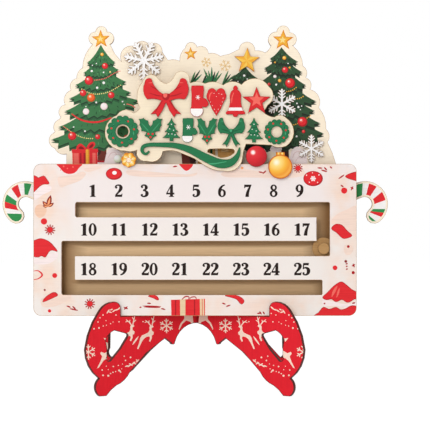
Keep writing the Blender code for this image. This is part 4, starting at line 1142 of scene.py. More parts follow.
TAN_PARCELS = [
    [(197.6, 139), (214.8, 137.4), (215.6, 168), (197.8, 168)],
    [(217.6, 139), (236.6, 137.6), (238, 168), (218, 168)],
]
TAN_PARCEL_GLOW = [
    [(201, 141), (207, 140.4), (207.4, 152), (201.4, 152.6)],
    [(221, 141), (228, 140.6), (228.4, 152), (221.4, 152)],
]
TAN_PARCEL_RIBBON = [(210, 136), (212.4, 136), (212.8, 168), (210.4, 168)]
TAN_PARCEL_BOW = [(221.6, 135), (226.4, 138.4), (231, 134.6), (231.6, 141.6), (226.6, 140.2),
                  (221.8, 142.4)]
SNOW_MOUNDS = [
    [(105.6, 168), (106, 155), (109, 149), (113.6, 147.6), (118.4, 150), (122, 155),
     (124, 168)],
    [(270, 150), (273, 144.4), (277, 142.6), (280.6, 145), (281.6, 150), (276, 152.6)],
    [(290.4, 168), (290.6, 154), (293.6, 148.4), (298, 146.6), (303, 149.4), (306.4, 154),
     (306, 168)],
]
SNOW_CURLS = [
    [(108, 158, 0.3), (110.6, 153.6, 0.5), (114.6, 152.4, 0.5), (117.4, 155.6, 0.3)],
    [(292.6, 158, 0.3), (294.6, 153, 0.5), (298.8, 151.4, 0.5), (302.2, 154, 0.3)],
    [(295.4, 161.6, 0.3), (298.4, 157.4, 0.4), (302.6, 157, 0.3)],
]
# x, y, lean and number of blades
GRASS_ROOTS = [(190, 86, -1.0, 3), (201.6, 86.4, -0.85, 4), (211.6, 86, -1.45, 6),
               (221.6, 87, -0.85, 4)]
GRASS_FAN = 0.22              # radians between two blades
GRASS_LENGTH = (13, 19)
GRASS_HALF = 0.95
GRASS_INKS = ("fir", "fir_dark", "green")


def print_trimming(sheet, garlands, balls, lights):
    """Garlands, glass balls and small round lights of a fir."""
    for ink, path, bead, pitch in garlands:
        garland(sheet, ink, path, bead, pitch)
    for tint, x, y, radius in balls:
        ball(sheet, tint, x, y, radius)
    for ink, x, y, radius in lights:
        sheet.paint(ink, oval(x, y, radius, steps=10))


def print_parcel(sheet):
    """Red parcel with a gold ribbon, at the foot of the left fir."""
    sheet.paint("red", PARCEL_BODY)
    sheet.paint("red_light", *PARCEL_PALE_FOLDS)
    sheet.paint("red_deep", *PARCEL_FOLDS)
    sheet.paint("red", PARCEL_LID)
    sheet.paint("gold", PARCEL_RIBBON)
    sheet.paint("gold_deep", PARCEL_RIBBON_SHADE)
    sheet.paint("red", soft(PARCEL_BOW_LEFT), soft(PARCEL_BOW_RIGHT))
    sheet.paint("red_dark", soft(PARCEL_BOW_LEFT_INSIDE), soft(PARCEL_BOW_RIGHT_INSIDE))


def print_grass(sheet):
    """Fans of needles that rise behind the sign."""
    draw = random.Random(41)
    for x, y, lean, count in GRASS_ROOTS:
        for blade in range(count):
            angle = lean + (blade - (count - 1) / 2) * GRASS_FAN
            tip = away(x, y, draw.uniform(*GRASS_LENGTH), angle)
            sheet.paint(draw.choice(GRASS_INKS), line((x, y), tip, GRASS_HALF, NEEDLE_TIP))


def print_scenery(sheet):
    """Cream winter scene: firs, stars, snow and parcels."""
    for crystal in GOLD_CRYSTALS:
        ice_star(sheet, "gold_faint", *crystal, half=0.42, turn=0.2)
    printed_star(sheet, *SKY_STAR)
    print_fir(sheet, "spruce", FIR_BACK_TIERS, 11)
    sheet.paint("trunk", TRUNK_BACK)
    sheet.paint("trunk_dark", TRUNK_BACK_SHADE)
    print_grass(sheet)
    print_fir(sheet, "spruce", FIR_MIDDLE_TIERS, 12)
    print_trimming(sheet, [], [], FIR_MIDDLE_LIGHTS)
    sheet.paint("trunk_dark", TRUNK_RIGHT)
    print_fir(sheet, "spruce", FIR_RIGHT_TIERS, 13)
    sheet.paint("spruce_dark", *[soft(depth) for depth in FIR_RIGHT_DARK_PATCHES])
    print_trimming(sheet, FIR_RIGHT_GARLANDS, FIR_RIGHT_BALLS, FIR_RIGHT_LIGHTS)
    sheet.paint("trunk", TRUNK_LEFT)
    sheet.paint("trunk_dark", TRUNK_LEFT_SHADE)
    sheet.paint("snow", DOORSTEP)
    sheet.paint("red_deep", DOORSTEP_TOP)
    print_fir(sheet, "fir", FIR_LEFT_TIERS, 14)
    sheet.paint("red", brush(flow(FIR_LEFT_SASH, 5)))
    print_trimming(sheet, FIR_LEFT_GARLANDS, FIR_LEFT_BALLS, FIR_LEFT_LIGHTS)
    for place in TREE_TOP_STARS:
        printed_star(sheet, *place)
    sheet.paint("kraft", *TAN_PARCELS)
    sheet.paint("kraft_light", *TAN_PARCEL_GLOW)
    sheet.paint("green_deep", TAN_PARCEL_RIBBON, TAN_PARCEL_BOW)
    sheet.paint("snow", *[soft(mound) for mound in SNOW_MOUNDS])
    sheet.paint("snow_shade", *[brush(flow(curl, 5)) for curl in SNOW_CURLS])
    print_parcel(sheet)


# The border of the number panel, in picture units
PANEL_HALF_BALL = [(57.6, 163), (60.4, 168.4), (64.4, 172.6), (69.6, 174), (75, 172.6),
                   (78.8, 168.2), (81.4, 163)]
PANEL_TOP_BALL = [(179.4, 163), (181.8, 167.6), (186, 170.8), (190.4, 168.6), (192.8, 163)]
PANEL_OVAL_BALLS = [(114, 173.9, 8.2, 6.0), (313.1, 178.6, 9.8, 7.6)]
PANEL_OVAL_RIM = 1.0
PANEL_OVAL_SHIFT = 0.3        # towards the light
PANEL_OVAL_GLINT = (114.5, 172.8, 2.296, 1.92)
PANEL_OVAL_CRYSTAL = (313.1, 178.6, 2.8)
PANEL_HATS = [
    [(32, 176.4), (36.6, 176.6), (38.4, 177.8), (43.7, 175.8), (46.6, 179), (49.2, 183.8),
     (43.8, 184.2), (39.8, 186.2), (32, 192.4)],
    [(32, 242.8), (36.2, 239.8), (41.6, 238.6), (48.8, 241.4), (53.8, 246.2), (57.4, 251.4),
     (52.6, 250.2), (49.4, 251.2), (46.8, 255.2), (45, 257.2), (41.4, 255.8), (37.8, 257.2),
     (32, 254.8)],
    [(43, 302), (45.8, 297), (53.8, 292.2), (57.8, 295), (54, 297.4)],
    [(148.2, 296.2), (152.4, 294.8), (156.8, 296.2), (158.8, 299.4), (157, 300), (153.2, 298)],
    [(225, 295.6), (232, 294.6), (240, 296.8), (244.2, 301), (241.2, 304.2), (236.6, 299.4),
     (230.4, 297.2)],
    [(345.4, 176.6), (350.2, 173.4), (359, 172.2), (359, 180.4), (351.2, 179.4)],
    [(331.4, 228.6), (335.8, 224.2), (342, 225.2), (347, 230.6), (352, 235.8), (344.6, 238.6),
     (340.6, 236.6), (336.8, 232.8)],
]
PANEL_BIG_HAT = [(340.9, 281.8), (346, 284.6), (352, 289.6), (360, 294), (360, 299.4),
                 (354.6, 299), (350, 301.8), (346.4, 302.2), (342, 299.6), (336, 301.8),
                 (331.4, 299), (326.4, 299.8), (322.6, 297.4), (327.4, 292.6), (333.6, 286.2)]
PANEL_BIG_HAT_GLOW = [[(331.6, 297.2), (333, 290.4), (337.4, 285.6), (335.6, 291.4)],
                      [(336.4, 297.6), (337.4, 291.6), (339.6, 288), (339, 293.4)]]
PANEL_BIG_HAT_BASE = [(315, 318), (318.6, 312.6), (323.4, 307.2), (329.2, 309.2), (335.8, 307.2),
                      (340.4, 309.6), (345.4, 308.8), (351.8, 305.6), (360, 308), (360, 318)]
PANEL_STAINS = [
    [(57.6, 178), (64, 176), (74, 174.6), (82, 171.6), (86, 174), (80, 180.6),
     (68, 185), (60.4, 187)],
    [(84, 169), (92, 166.6), (102, 166.4), (98, 169.2), (88, 172)],
    [(41, 299), (50, 295.6), (62, 294), (71.6, 295.4), (66, 301.6), (54, 306.6),
     (43, 306.8)],
    [(128, 170), (150, 171.6), (185, 174.4), (197, 172.6), (192, 176.4), (165, 177),
     (140, 176.6), (128, 174.6)],
    [(222, 172.6), (240, 168.6), (262, 171.6), (288, 172.6), (302, 169.6), (304, 175.6),
     (285, 178), (250, 177.4), (226, 177)],
    [(331, 223), (336, 215), (346, 210), (358.6, 207), (358.6, 238), (350, 234),
     (341, 228)],
    [(344, 246), (350, 244.6), (353.4, 249), (350, 254.6), (345, 253.6)],
]
PANEL_WHITE_TRIM = [
    [(31, 193), (39.4, 187), (46, 185), (51.2, 186.6), (50.4, 191), (43, 194.6),
     (36, 199.4), (31, 200.4)],
    [(31, 256.4), (37.8, 258.8), (45.6, 259), (50, 253.4), (57, 253), (57.4, 257.6),
     (49.4, 263.4), (38.4, 264.4), (31, 262)],
    [(322.6, 299.2), (332, 301.2), (346, 304), (360, 301), (360, 306), (345.4, 307.6),
     (335, 305.8), (324, 305.8)],
]
PANEL_DOTS = [
    ("red", 54.7, 275.5, 2.5), ("red", 49.5, 310.9, 1.7), ("red", 44, 221.4, 3.2),
    ("red", 344.2, 190.6, 3.1), ("red", 335, 267.8, 2.4), ("red_deep", 353.2, 272.7, 1.6),
    ("red_deep", 348.3, 246.6, 1.4), ("orange_light", 242, 168, 1.4), ("red", 60.6, 170, 0.5),
    ("red_dark", 44.7, 290, 1.0), ("red_dark", 345.8, 261.4, 1.4),
]
PANEL_BURSTS = [(50, 229.8, 5.4), (89.8, 303.8, 5.4), (298, 168.2, 4.8)]
PANEL_DASH_HALF = 0.7
PANEL_DASHES = [
    ((173, 166.8), (177.2, 166.2)), ((66.6, 305.8), (70.6, 307.4)), ((69.8, 308.6), (78, 310.4)),
    ((72.4, 306.2), (75.6, 309)), ((142.6, 306), (161, 306.6)),
    ((144, 307), (160.4, 307.4)), ((147, 303.2), (151, 303.4)),
    ((139.4, 307.6), (141.6, 307)), ((161, 308.4), (165.4, 309.6)), ((123.6, 307), (128, 309)),
    ((124, 309.6), (127.6, 306.4)), ((258.6, 171.8), (263, 172.6)), ((262.6, 173.8), (266.2, 170.6)),
    ((317.4, 167.8), (322.4, 168.2)), ((321, 169.8), (327.2, 171.8)), ((324.2, 167.2), (327, 170.4)),
    ((329.8, 166.4), (332, 168.4)), ((338.6, 178.8), (344.2, 174.8)), ((340.6, 185), (343.6, 187)),
    ((350.6, 187.2), (353.4, 188.8)), ((351, 190.4), (353, 186.4)), ((345.6, 264), (347.8, 263.6)),
    ((345.8, 266.6), (347.6, 266)), ((346, 269.4), (347.8, 268.8)), ((351.8, 266.2), (355, 264.4)),
    ((353, 263.6), (354.4, 267.4)), ((257, 313.6), (261, 313)), ((259.4, 311.4), (261.6, 314.4)),
    ((263, 311.6), (264.6, 314.4)), ((222, 303), (225.6, 304.2)), ((226, 306.6), (230.4, 305)),
    ((323.6, 303.8), (325.4, 303.2)), ((352, 303.4), (355.4, 302.6)),
]
PANEL_PEACH_SPOT = [(35.4, 207), (39.6, 204.4), (45, 206), (46.6, 211), (43.6, 216.4),
                    (38.6, 217.6), (35, 213)]
PANEL_SPARKLES = [(306.6, 175.2, 0.6), (309.4, 182.2, 0.6), (317.6, 182.4, 0.6), (319, 174.8, 0.7),
                  (312.4, 172.8, 0.5)]
PANEL_CURL = [(33.4, 271.2, 0.3), (38.2, 270.8, 0.5), (42.2, 274.8, 0.9), (38.8, 278.4, 0.5),
              (33.6, 279.8, 0.3)]
PANEL_BALL_GLINTS = [(63.6, 166.4, 0.9), (67.4, 168.4, 0.7), (73, 167, 0.8)]
PANEL_SPRIG = (47.6, 206.8)
PANEL_SPRIG_LEAVES = [(12.2, 2.5, -1.30), (7.6, 1.9, -2.30), (7.4, 1.8, -0.55), (5.0, 1.5, -2.9)]
VEIN_LENGTH = 0.8             # lit middle of a leaf, in shares of the leaf
VEIN_WIDTH = 0.45
PANEL_PARCEL = [(171, 299.8), (205, 298.8), (205, 318), (171.4, 318)]
PANEL_PARCEL_FOLDS = [[(175, 300), (176.2, 300), (176.2, 318), (175, 318)],
                      [(194, 299.6), (195.2, 299.6), (195.2, 318), (194, 318)]]
PANEL_PARCEL_RIBBONS = [
    [(180, 299.4), (185.4, 299.2), (185.4, 318), (180.2, 318)],
    [(199.8, 299), (201.9, 299), (202.1, 318), (200, 318)],
    [(202.5, 299), (204, 299), (204.2, 318), (202.7, 318)],
]
PANEL_PARCEL_BOW = [
    [(182, 299.4, 0.4), (185.4, 296.6, 0.6), (189, 297, 0.5), (188.4, 299.4, 0.3)],
    [(189.4, 299.2, 0.3), (191.4, 297.2, 0.5), (195.4, 297, 0.5), (196.4, 299.2, 0.3)],
]
HAT_RIM = 0.28                # half the width of a hat's outline


def print_hats(sheet, hats):
    """Red hats with a deeper outline."""
    for hat in hats:
        loop = soft(hat, 3)
        sheet.paint("red", loop)
        sheet.paint("red_deep", *[line(*side, HAT_RIM, 1.0) for side in sides(loop)])


def print_panel_border(sheet):
    """Hats, balls, parcels and snow bursts around the rows of numbers."""
    sheet.paint("stain", *[soft(stain) for stain in PANEL_STAINS])
    sheet.paint("snow", *[soft(trim) for trim in PANEL_WHITE_TRIM])
    sheet.paint("red", soft(PANEL_HALF_BALL), soft(PANEL_TOP_BALL))
    sheet.paint("red_light", *[oval(*glint) for glint in PANEL_BALL_GLINTS])
    for x, y, *radii in PANEL_OVAL_BALLS:
        sheet.paint("red_deep", oval(x, y, *radii, steps=28))
        lit = [radius - PANEL_OVAL_RIM for radius in radii]
        middle = (x - PANEL_OVAL_SHIFT, y - PANEL_OVAL_SHIFT)
        sheet.paint("red", oval(*middle, *lit, steps=28))
    sheet.paint("white", oval(*PANEL_OVAL_GLINT))
    ice_star(sheet, "snow", *PANEL_OVAL_CRYSTAL, half=0.5)
    sheet.paint("snow", *[oval(*sparkle, steps=8) for sparkle in PANEL_SPARKLES])
    sheet.paint("peach", soft(PANEL_PEACH_SPOT))
    print_hats(sheet, [*PANEL_HATS, PANEL_BIG_HAT, PANEL_BIG_HAT_BASE])
    sheet.paint("red_light", *[soft(glow, 3) for glow in PANEL_BIG_HAT_GLOW])
    for ink, x, y, radius in PANEL_DOTS:
        sheet.paint(ink, oval(x, y, radius, steps=14))
    for spot in PANEL_BURSTS:
        burst(sheet, *spot)
    sheet.paint("red_deep", *[line(*dash, PANEL_DASH_HALF, 0.35) for dash in PANEL_DASHES])
    sheet.paint("red", brush(flow(PANEL_CURL, 5)))
    for length, half, turn in PANEL_SPRIG_LEAVES:
        sheet.paint("red_dark", leaf(*PANEL_SPRIG, length, half, turn))
        lit = (VEIN_LENGTH * length, VEIN_WIDTH * half)
        sheet.paint("orange_light", leaf(*PANEL_SPRIG, *lit, turn))
    sheet.paint("red", PANEL_PARCEL)
    sheet.paint("red_deep", *PANEL_PARCEL_FOLDS)
    sheet.paint("cream_deep", *PANEL_PARCEL_RIBBONS)
    sheet.paint("red_deep", *[brush(flow(loop, 4)) for loop in PANEL_PARCEL_BOW])


# Candy canes.  Each cut runs from the inside to the outside of the bend, in picture units,
# and the named ink fills the space up to the next cut.
CANE_CUTS = {
    "left": [
        ((21, 224), (12, 228), "green_bright"), ((18.6, 213.8), (5.4, 213.4), "white"),
        ((16.4, 210), (4.0, 207.8), "red"), ((15.2, 205.2), (2.8, 200.8), "green_bright"),
        ((15.2, 200.2), (5.2, 193.2), "white"), ((16.9, 196.8), (9.6, 186.2), "red"),
        ((20.7, 194.4), (17.3, 182.4), "white"), ((24.6, 194), (24, 182), "green_bright"),
        ((28.1, 194.4), (31.6, 184.2), "white"), ((33, 198), (42, 190), "red"),
    ],
    "right": [
        ((356.4, 200.4), (350, 190), "green_bright"), ((361.8, 196.5), (362.7, 184.6), "white"),
        ((365.9, 195.8), (368.7, 184.6), "red"), ((369.8, 196.9), (376.2, 187.2), "white"),
        ((372.6, 199.4), (381.4, 192.2), "red"), ((374.3, 204.1), (384.6, 200.4), "white"),
        ((373.4, 209), (384.4, 209), "green_bright"), ((372.8, 211.5), (382.8, 212.6), "red"),
        ((372, 213.3), (380.8, 216.8), "white"), ((369.2, 215.6), (376.8, 222), "green_bright"),
        ((364, 219), (372, 229), "green_bright"),
    ],
}
CANE_OVERRUN = 0.35           # cuts run past the edges by this share, under the cream rim
CANE_RIM = 1.6                # mm


def print_canes(sheet):
    """Stripes across the bend, inside a cream rim."""
    for cuts in CANE_CUTS.values():
        for (inner, outer, ink), (next_inner, next_outer, _) in zip(cuts, cuts[1:]):
            sheet.paint(ink, [
                between(inner, outer, -CANE_OVERRUN), between(inner, outer, 1 + CANE_OVERRUN),
                between(next_inner, next_outer, 1 + CANE_OVERRUN),
                between(next_inner, next_outer, -CANE_OVERRUN)])
    sheet.scorch(CANE_RIM, "cream")


# The stand's pattern, in picture units on the left board.  The right board has its mirror image.
STAND_MIRROR = 195.95
STAND_DEER = [
    (150.4, 325.4), (152.6, 325.4), (153.6, 326.8), (151.6, 328.2), (151.8, 330.6), (153.8, 332.2),
    (153.4, 334.4), (151.8, 335.6), (151.8, 338.4), (150.2, 341.8), (149, 341.2), (150, 337.8),
    (149.2, 336.4), (146.4, 336.9), (143.8, 338.8), (141.6, 342.2), (138.2, 349.2), (137, 348.8),
    (139.2, 342.6), (140.2, 338), (142, 335.4), (145.4, 334), (148.4, 332.4), (149.6, 330),
    (149.4, 327.2),
]
STAND_ANTLERS = [
    [(150.6, 325.6, 0.5), (148.6, 322.8, 0.55), (145.2, 320.2, 0.3)],
    [(148.6, 322.8, 0.45), (149.2, 320.4, 0.3)],
    [(147.2, 321.6, 0.45), (144.6, 322.6, 0.3)],
    [(152, 325.4, 0.5), (152.8, 321.6, 0.55), (154, 316, 0.3)],
    [(153, 320.6, 0.45), (151.4, 317.8, 0.3)],
    [(152.8, 322.6, 0.45), (155.2, 320.6, 0.3)],
]
SECOND_DEER_SHIFT = (-19.2, -0.6)
SECOND_DEER_LEG = ((138.4, 336.4), (132.4, 344.8))
STAND_LOW_DEER = [
    (110.4, 349.6), (104.6, 353.2), (101, 351.8), (100.2, 353.6), (102.2, 356.4), (100.2, 362),
    (97, 368.4), (98.8, 367.6), (103.4, 360.8), (106.4, 358.4), (110.4, 357),
]
STAND_MIDDLE_DEER = [
    (184.4, 313), (192.4, 313), (193.6, 326), (192, 326), (190.6, 322), (186.4, 320.4),
    (182.4, 323.8), (179.2, 329.8), (178.6, 329), (180.6, 323.4), (184.2, 319),
]
STAND_CORNER_MARK = [(103.6, 338), (107.8, 338.6), (106.6, 342)]
STAND_CRYSTALS = [(166.4, 325.8, 7.2), (88.4, 352, 7.6)]
STAND_DOTS = [
    (103, 315, 0.9), (98, 322, 0.8), (106, 320.6, 0.6), (110.6, 323.7, 0.7),
    (113, 322, 0.6), (119, 321.8, 0.8), (94, 328.7, 0.9), (99, 328, 1.1),
    (103.3, 326, 0.7), (116, 315, 0.8), (120.6, 313.4, 0.7), (100, 317.8, 0.8),
    (106.4, 325.2, 0.6), (130.5, 357.4, 1.1), (125.5, 360.4, 0.9), (113.3, 366.5, 0.9),
    (118.3, 365.4, 0.7), (106.4, 366.2, 0.6), (102.2, 370, 0.9), (103, 375.3, 1.1),
    (108.3, 375.7, 1.3), (113, 372.3, 0.9), (115.6, 371.5, 0.7), (119, 370.4, 1.2),
    (121.7, 368.8, 0.6), (136.6, 360, 0.8), (110.6, 373.6, 0.8), (124.2, 356.2, 0.8),
    (108.2, 369.6, 0.6), (122.4, 364, 0.6), (143, 321.6, 0.8),
]
SNOW_DOT_SHARE = 0.82         # how large a dot is printed, of its radius above
STAND_DASH_HALF = 0.6
STAND_SPRIG_DASHES = [
    ((106.8, 313.4), (109.4, 309.6)), ((108.4, 311.6), (111.8, 312.6)), ((110.2, 310.2), (112.6, 309)),
    ((112.4, 312), (115.2, 309.8)), ((115, 310.4), (118.2, 309.2)), ((117.6, 309.8), (121.2, 306.6)),
    ((125, 366.6), (128.4, 365.6)), ((127.6, 367), (131.2, 364.2)), ((129, 363.4), (132.6, 365.6)),
    ((131.4, 365), (135.2, 361.8)), ((133, 362.2), (136, 364.2)), ((136, 362.4), (139, 359.6)),
    ((119, 369.6), (121, 372.6)),
]


def mirrored(loop):
    """The same place on the right-hand board, in picture units."""
    return [(2 * STAND_MIRROR - row[0], *row[1:]) for row in loop]


def print_stand(sheet, turned=list):
    """Cream deer, crystals and snow on the front leg, and mirrored on the rear leg."""
    shift_x, shift_y = SECOND_DEER_SHIFT
    deer = [STAND_DEER, *[brush(antler) for antler in STAND_ANTLERS]]
    second = [[(x + shift_x, y + shift_y) for x, y in loop] for loop in deer]
    figures = [
        *deer, *second, line(*SECOND_DEER_LEG, 0.75), STAND_CORNER_MARK, STAND_LOW_DEER,
        STAND_MIDDLE_DEER]
    sheet.paint("deer", *[turned(loop) for loop in figures])
    for x, y, radius in STAND_CRYSTALS:
        ice_star(sheet, "deer", *turned([(x, y)])[0], radius, half=0.55, turn=0.5)
    snow = [oval(x, y, SNOW_DOT_SHARE * radius, steps=8) for x, y, radius in STAND_DOTS]
    snow += [line(*dash, STAND_DASH_HALF, 0.5) for dash in STAND_SPRIG_DASHES]
    sheet.paint("deer", *[turned(loop) for loop in snow])
    for ink, loops, _ in list(sheet.shapes):
        sheet.lay(ink, *[[(-across, up) for across, up in loop] for loop in loops])


def print_mirrored_stand(sheet):
    """The same pattern, mirrored, on the right-hand board."""
    print_stand(sheet, mirrored)


# Details on the raised ornaments, in shares of a node's width and height from its middle

def on_node(node_name, loop):
    """A loop in shares of a node's box, in millimetres on a board that faces the front."""
    (middle_x, middle_z), (width, height) = middle_and_size(node_name)
    return [(middle_x + x * width, middle_z + z * height) for x, z in loop]


def stroke_on(node_name, rows, width=0.5):
    """A soft brush stroke on a node.  Its half widths are shares of width, in millimetres."""
    middles = on_node(node_name, [(x, z) for x, z, _ in rows])
    placed = [(x, z, half * width) for (x, z), (_, _, half) in zip(middles, rows)]
    return brush(flow(placed, 4))


def dots_on(node_name, places, radius):
    """Round dots on a node, with a radius in millimetres."""
    return [oval(x, z, radius, steps=12) for x, z in on_node(node_name, places)]


BOW_FOLDS = [
    [(0.06, 0.10, 0.5), (0.18, 0.20, 1.0), (0.34, 0.30, 0.4)],
    [(0.07, 0.04, 0.5), (0.20, 0.06, 0.9), (0.36, 0.12, 0.3)],
    [(0.06, -0.06, 0.4), (0.16, -0.22, 0.9), (0.24, -0.38, 0.4)],
]
BOW_GLOW = [(0.14, 0.30, 0.3), (0.26, 0.38, 0.7), (0.38, 0.38, 0.3)]
BOW_KNOT = (0.0, 0.06, 0.085, 0.13)
BOW_KNOT_GLOW = (-0.015, 0.075, 0.045, 0.075)
MITTEN_CUFF = [(-0.51, -0.51), (0.51, -0.51), (0.51, -0.24), (-0.51, -0.24)]
MITTEN_CUFF_DOTS = [(-0.20, -0.45), (0.02, -0.45), (0.22, -0.45)]
MITTEN_PALM = (-0.08, 0.12)
MITTEN_CRYSTAL = 1.9          # mm, an arm of the crystal
CRYSTAL_HALF = 0.24           # mm, half its width
CUFF_DOT = 0.35               # mm, radius, as are the other dots and berries below
STITCH_DOT = 0.28
BERRY = 0.9
SMALL_BERRY = 0.75
SNOW_DOT = 0.42
HEART_GLOW = [(-0.36, 0.06, 0.4), (-0.33, 0.26, 1.0), (-0.20, 0.36, 0.5)]
HEART_STITCHES = [(-0.30, 0.0), (-0.21, -0.13), (-0.10, -0.26), (0.0, -0.36), (0.10, -0.26),
                  (0.21, -0.13), (0.30, 0.0), (0.34, 0.14), (0.27, 0.28), (0.13, 0.31), (0.0, 0.20),
                  (-0.12, 0.31)]
STAR_GLOW_SHARE = 0.56        # of the sign's star
BELL_BAND = [(-0.60, -0.30), (0.60, -0.30), (0.60, -0.20), (-0.60, -0.20)]
BELL_GLOW = [(-0.20, -0.06, 0.4), (-0.17, 0.14, 0.9), (-0.08, 0.28, 0.4)]
HOLLY_VEINS = [
    [(-0.05, -0.12, 0.2), (-0.22, 0.08, 0.6), (-0.38, 0.28, 0.2)],
    [(0.05, -0.12, 0.2), (0.22, 0.08, 0.6), (0.38, 0.28, 0.2)],
]
HOLLY_BERRIES = [(-0.09, -0.20), (0.09, -0.20), (0.0, -0.34)]
FIR_DOTS = [(0.0, 0.22), (-0.10, 0.02), (0.12, -0.04), (-0.16, -0.20), (0.03, -0.20), (0.20, -0.24)]
FIR_SHADES = [
    [(-0.18, 0.14, 0.3), (0.0, 0.08, 0.9), (0.18, 0.14, 0.3)],
    [(-0.26, -0.10, 0.3), (0.0, -0.16, 0.9), (0.26, -0.10, 0.3)],
]
WREATH_BERRIES = 7
WREATH_LEAVES = 18
WREATH_BERRY_TURN = 0.2       # of the angle between two berries
WREATH_RING_SHARE = 0.36      # middle of the ring, of the wreath's width
WREATH_LEAF_SHARE = 0.12
WREATH_LEAF_HALF = 0.42       # mm
WREATH_LEAN = 1.9             # radians between a leaf and the way outwards
RIBBON_GLOW = [(-0.42, 0.08, 0.3), (-0.22, 0.02, 1.0), (0.0, -0.22, 1.1), (0.20, -0.33, 0.9),
               (0.36, -0.24, 0.4)]
RIBBON_GLOW_WIDTH = 0.6


def print_bow(sheet, node_name, dark, light):
    """Knot, folds and a highlight on both loops of a bow."""
    for side in (-1, 1):
        for ink, stroke in (*[(dark, fold) for fold in BOW_FOLDS], (light, BOW_GLOW)):
            sheet.lay(ink, stroke_on(node_name, [(side * x, z, half) for x, z, half in stroke]))
    sheet.lay(dark, on_node(node_name, oval(*BOW_KNOT)))
    sheet.lay(light, on_node(node_name, oval(*BOW_KNOT_GLOW)))


def print_mitten(sheet, node_name):
    """White cuff with dots, and a white crystal on the palm."""
    sheet.lay("white", on_node(node_name, MITTEN_CUFF))
    sheet.lay("snow_shade", *dots_on(node_name, MITTEN_CUFF_DOTS, CUFF_DOT))
    [palm] = on_node(node_name, [MITTEN_PALM])
    for arm in range(6):
        tip = away(*palm, MITTEN_CRYSTAL, math.pi * arm / 3)
        sheet.lay("white", line(palm, tip, CRYSTAL_HALF))


def print_wreath(sheet, node_name):
    """Leaves round the ring, with red berries."""
    for number in range(WREATH_LEAVES):
        angle = 2 * math.pi * number / WREATH_LEAVES
        lean = angle + WREATH_LEAN if number % 2 else angle - WREATH_LEAN
        root = away(0, 0, WREATH_RING_SHARE, angle)
        start, end = on_node(node_name, [root, away(*root, WREATH_LEAF_SHARE, lean)])
        sheet.lay("green_light" if number % 2 else "green_deep", line(start, end, WREATH_LEAF_HALF))
    angles = [2 * math.pi * (number + WREATH_BERRY_TURN) / WREATH_BERRIES
              for number in range(WREATH_BERRIES)]
    places = [away(0, 0, WREATH_RING_SHARE, angle) for angle in angles]
    sheet.lay("red", *dots_on(node_name, places, SMALL_BERRY))


def print_red_motifs(sheet):
    """Upper row of the sign: bow, mitten, heart, bell and star."""
    print_bow(sheet, "sign_bow", "red_deep", "red_light")
    print_mitten(sheet, "sign_mitten")
    sheet.lay("red_light", stroke_on("sign_heart", HEART_GLOW))
    sheet.lay("white", *dots_on("sign_heart", HEART_STITCHES, STITCH_DOT))
    sheet.lay("white", on_node("sign_bell", BELL_BAND))
    sheet.lay("red_light", stroke_on("sign_bell", BELL_GLOW))
    (middle_x, middle_z), (width, _) = middle_and_size("sign_star")
    glow = star(middle_x, middle_z, width / 2 * STAR_GLOW_SHARE)
    sheet.lay("red_light", [(x, 2 * middle_z - z) for x, z in glow])


def print_green_motifs(sheet):
    """Lower row of the sign: leaves, firs, bow, mitten and wreaths, over a ribbon."""
    for node_name in ("sign_holly_left", "sign_holly_middle"):
        sheet.lay("green_light", *[stroke_on(node_name, vein) for vein in HOLLY_VEINS])
        sheet.lay("red", *dots_on(node_name, HOLLY_BERRIES, BERRY))
    for node_name in ("sign_fir_left", "sign_fir_right"):
        sheet.lay("green_deep", *[stroke_on(node_name, shade) for shade in FIR_SHADES])
        sheet.lay("white", *dots_on(node_name, FIR_DOTS, SNOW_DOT))
    print_bow(sheet, "sign_bow_green", "green_deep", "green_light")
    print_mitten(sheet, "sign_mitten_green")
    print_wreath(sheet, "sign_wreath")
    print_wreath(sheet, "sign_wreath_small")
    sheet.lay("green_light", stroke_on("sign_ribbon", RIBBON_GLOW, RIBBON_GLOW_WIDTH))


RIM_WIDTH = 0.35              # mm, printed outline of a raised ball
CAP_PITCH = 1.3               # mm, between two folds of the ball's cap
CAP_FLARE = 0.3               # mm, how far a fold leans out, beside the one further in
CAP_FOLD_HALF = 0.4           # mm
CAP_SPAN = (0.9, 1.4)         # from the ball's middle, in radii
PETALS = 6
PETAL_TURN = 0.25             # of the angle between two petals
# ink, length and half width in radii of the flower, and turn in radians
PETAL_LAYERS = [
    ("gold", 1.02, 0.44, 0.0), ("gold_light", 0.90, 0.27, 0.06), ("cream_light", 0.66, 0.09, 0.12)]
FLOWER_RIM = 0.36             # the flower's middle with its rim, in radii
FLOWER_MIDDLE = 0.30
STAMENS = 5
STAMEN_RING = 0.15
STAMEN_SIZE = 0.06
STAR_RIM = 0.93               # of the raised star's radius, inside its deeper rim


def print_gold_ball(sheet):
    """Gold glass ball with a ruffled cap."""
    middle_x, middle_z = GOLD_BALL_MIDDLE
    sheet.lay("gold", oval(middle_x, middle_z, 3 * GOLD_BALL_RADIUS))
    for fold in range(-2, 3):
        across = middle_x + fold * CAP_PITCH
        foot = (across, middle_z + GOLD_BALL_RADIUS * CAP_SPAN[0])
        tip = (across + fold * CAP_FLARE, middle_z + GOLD_BALL_RADIUS * CAP_SPAN[1])
        sheet.lay("gold_light" if fold % 2 else "gold_deep", line(foot, tip, CAP_FOLD_HALF))
    for ink, rims in (("orange_deep", 0), ("orange_rim", 1), ("ball_gold", 3)):
        radius = GOLD_BALL_RADIUS - rims * RIM_WIDTH
        sheet.lay(ink, oval(middle_x, middle_z, radius, steps=48))


def print_red_ball(sheet):
    """Red glass ball."""
    sheet.lay("red_dark", oval(*RED_BALL_MIDDLE, 3 * RED_BALL_RADIUS))
    sheet.lay("ball_red", oval(*RED_BALL_MIDDLE, RED_BALL_RADIUS - RIM_WIDTH, steps=48))


def print_pearl(sheet):
    """Pale green glass ball."""
    sheet.lay("ball_pearl", oval(*PEARL_MIDDLE, 3 * PEARL_RADIUS))


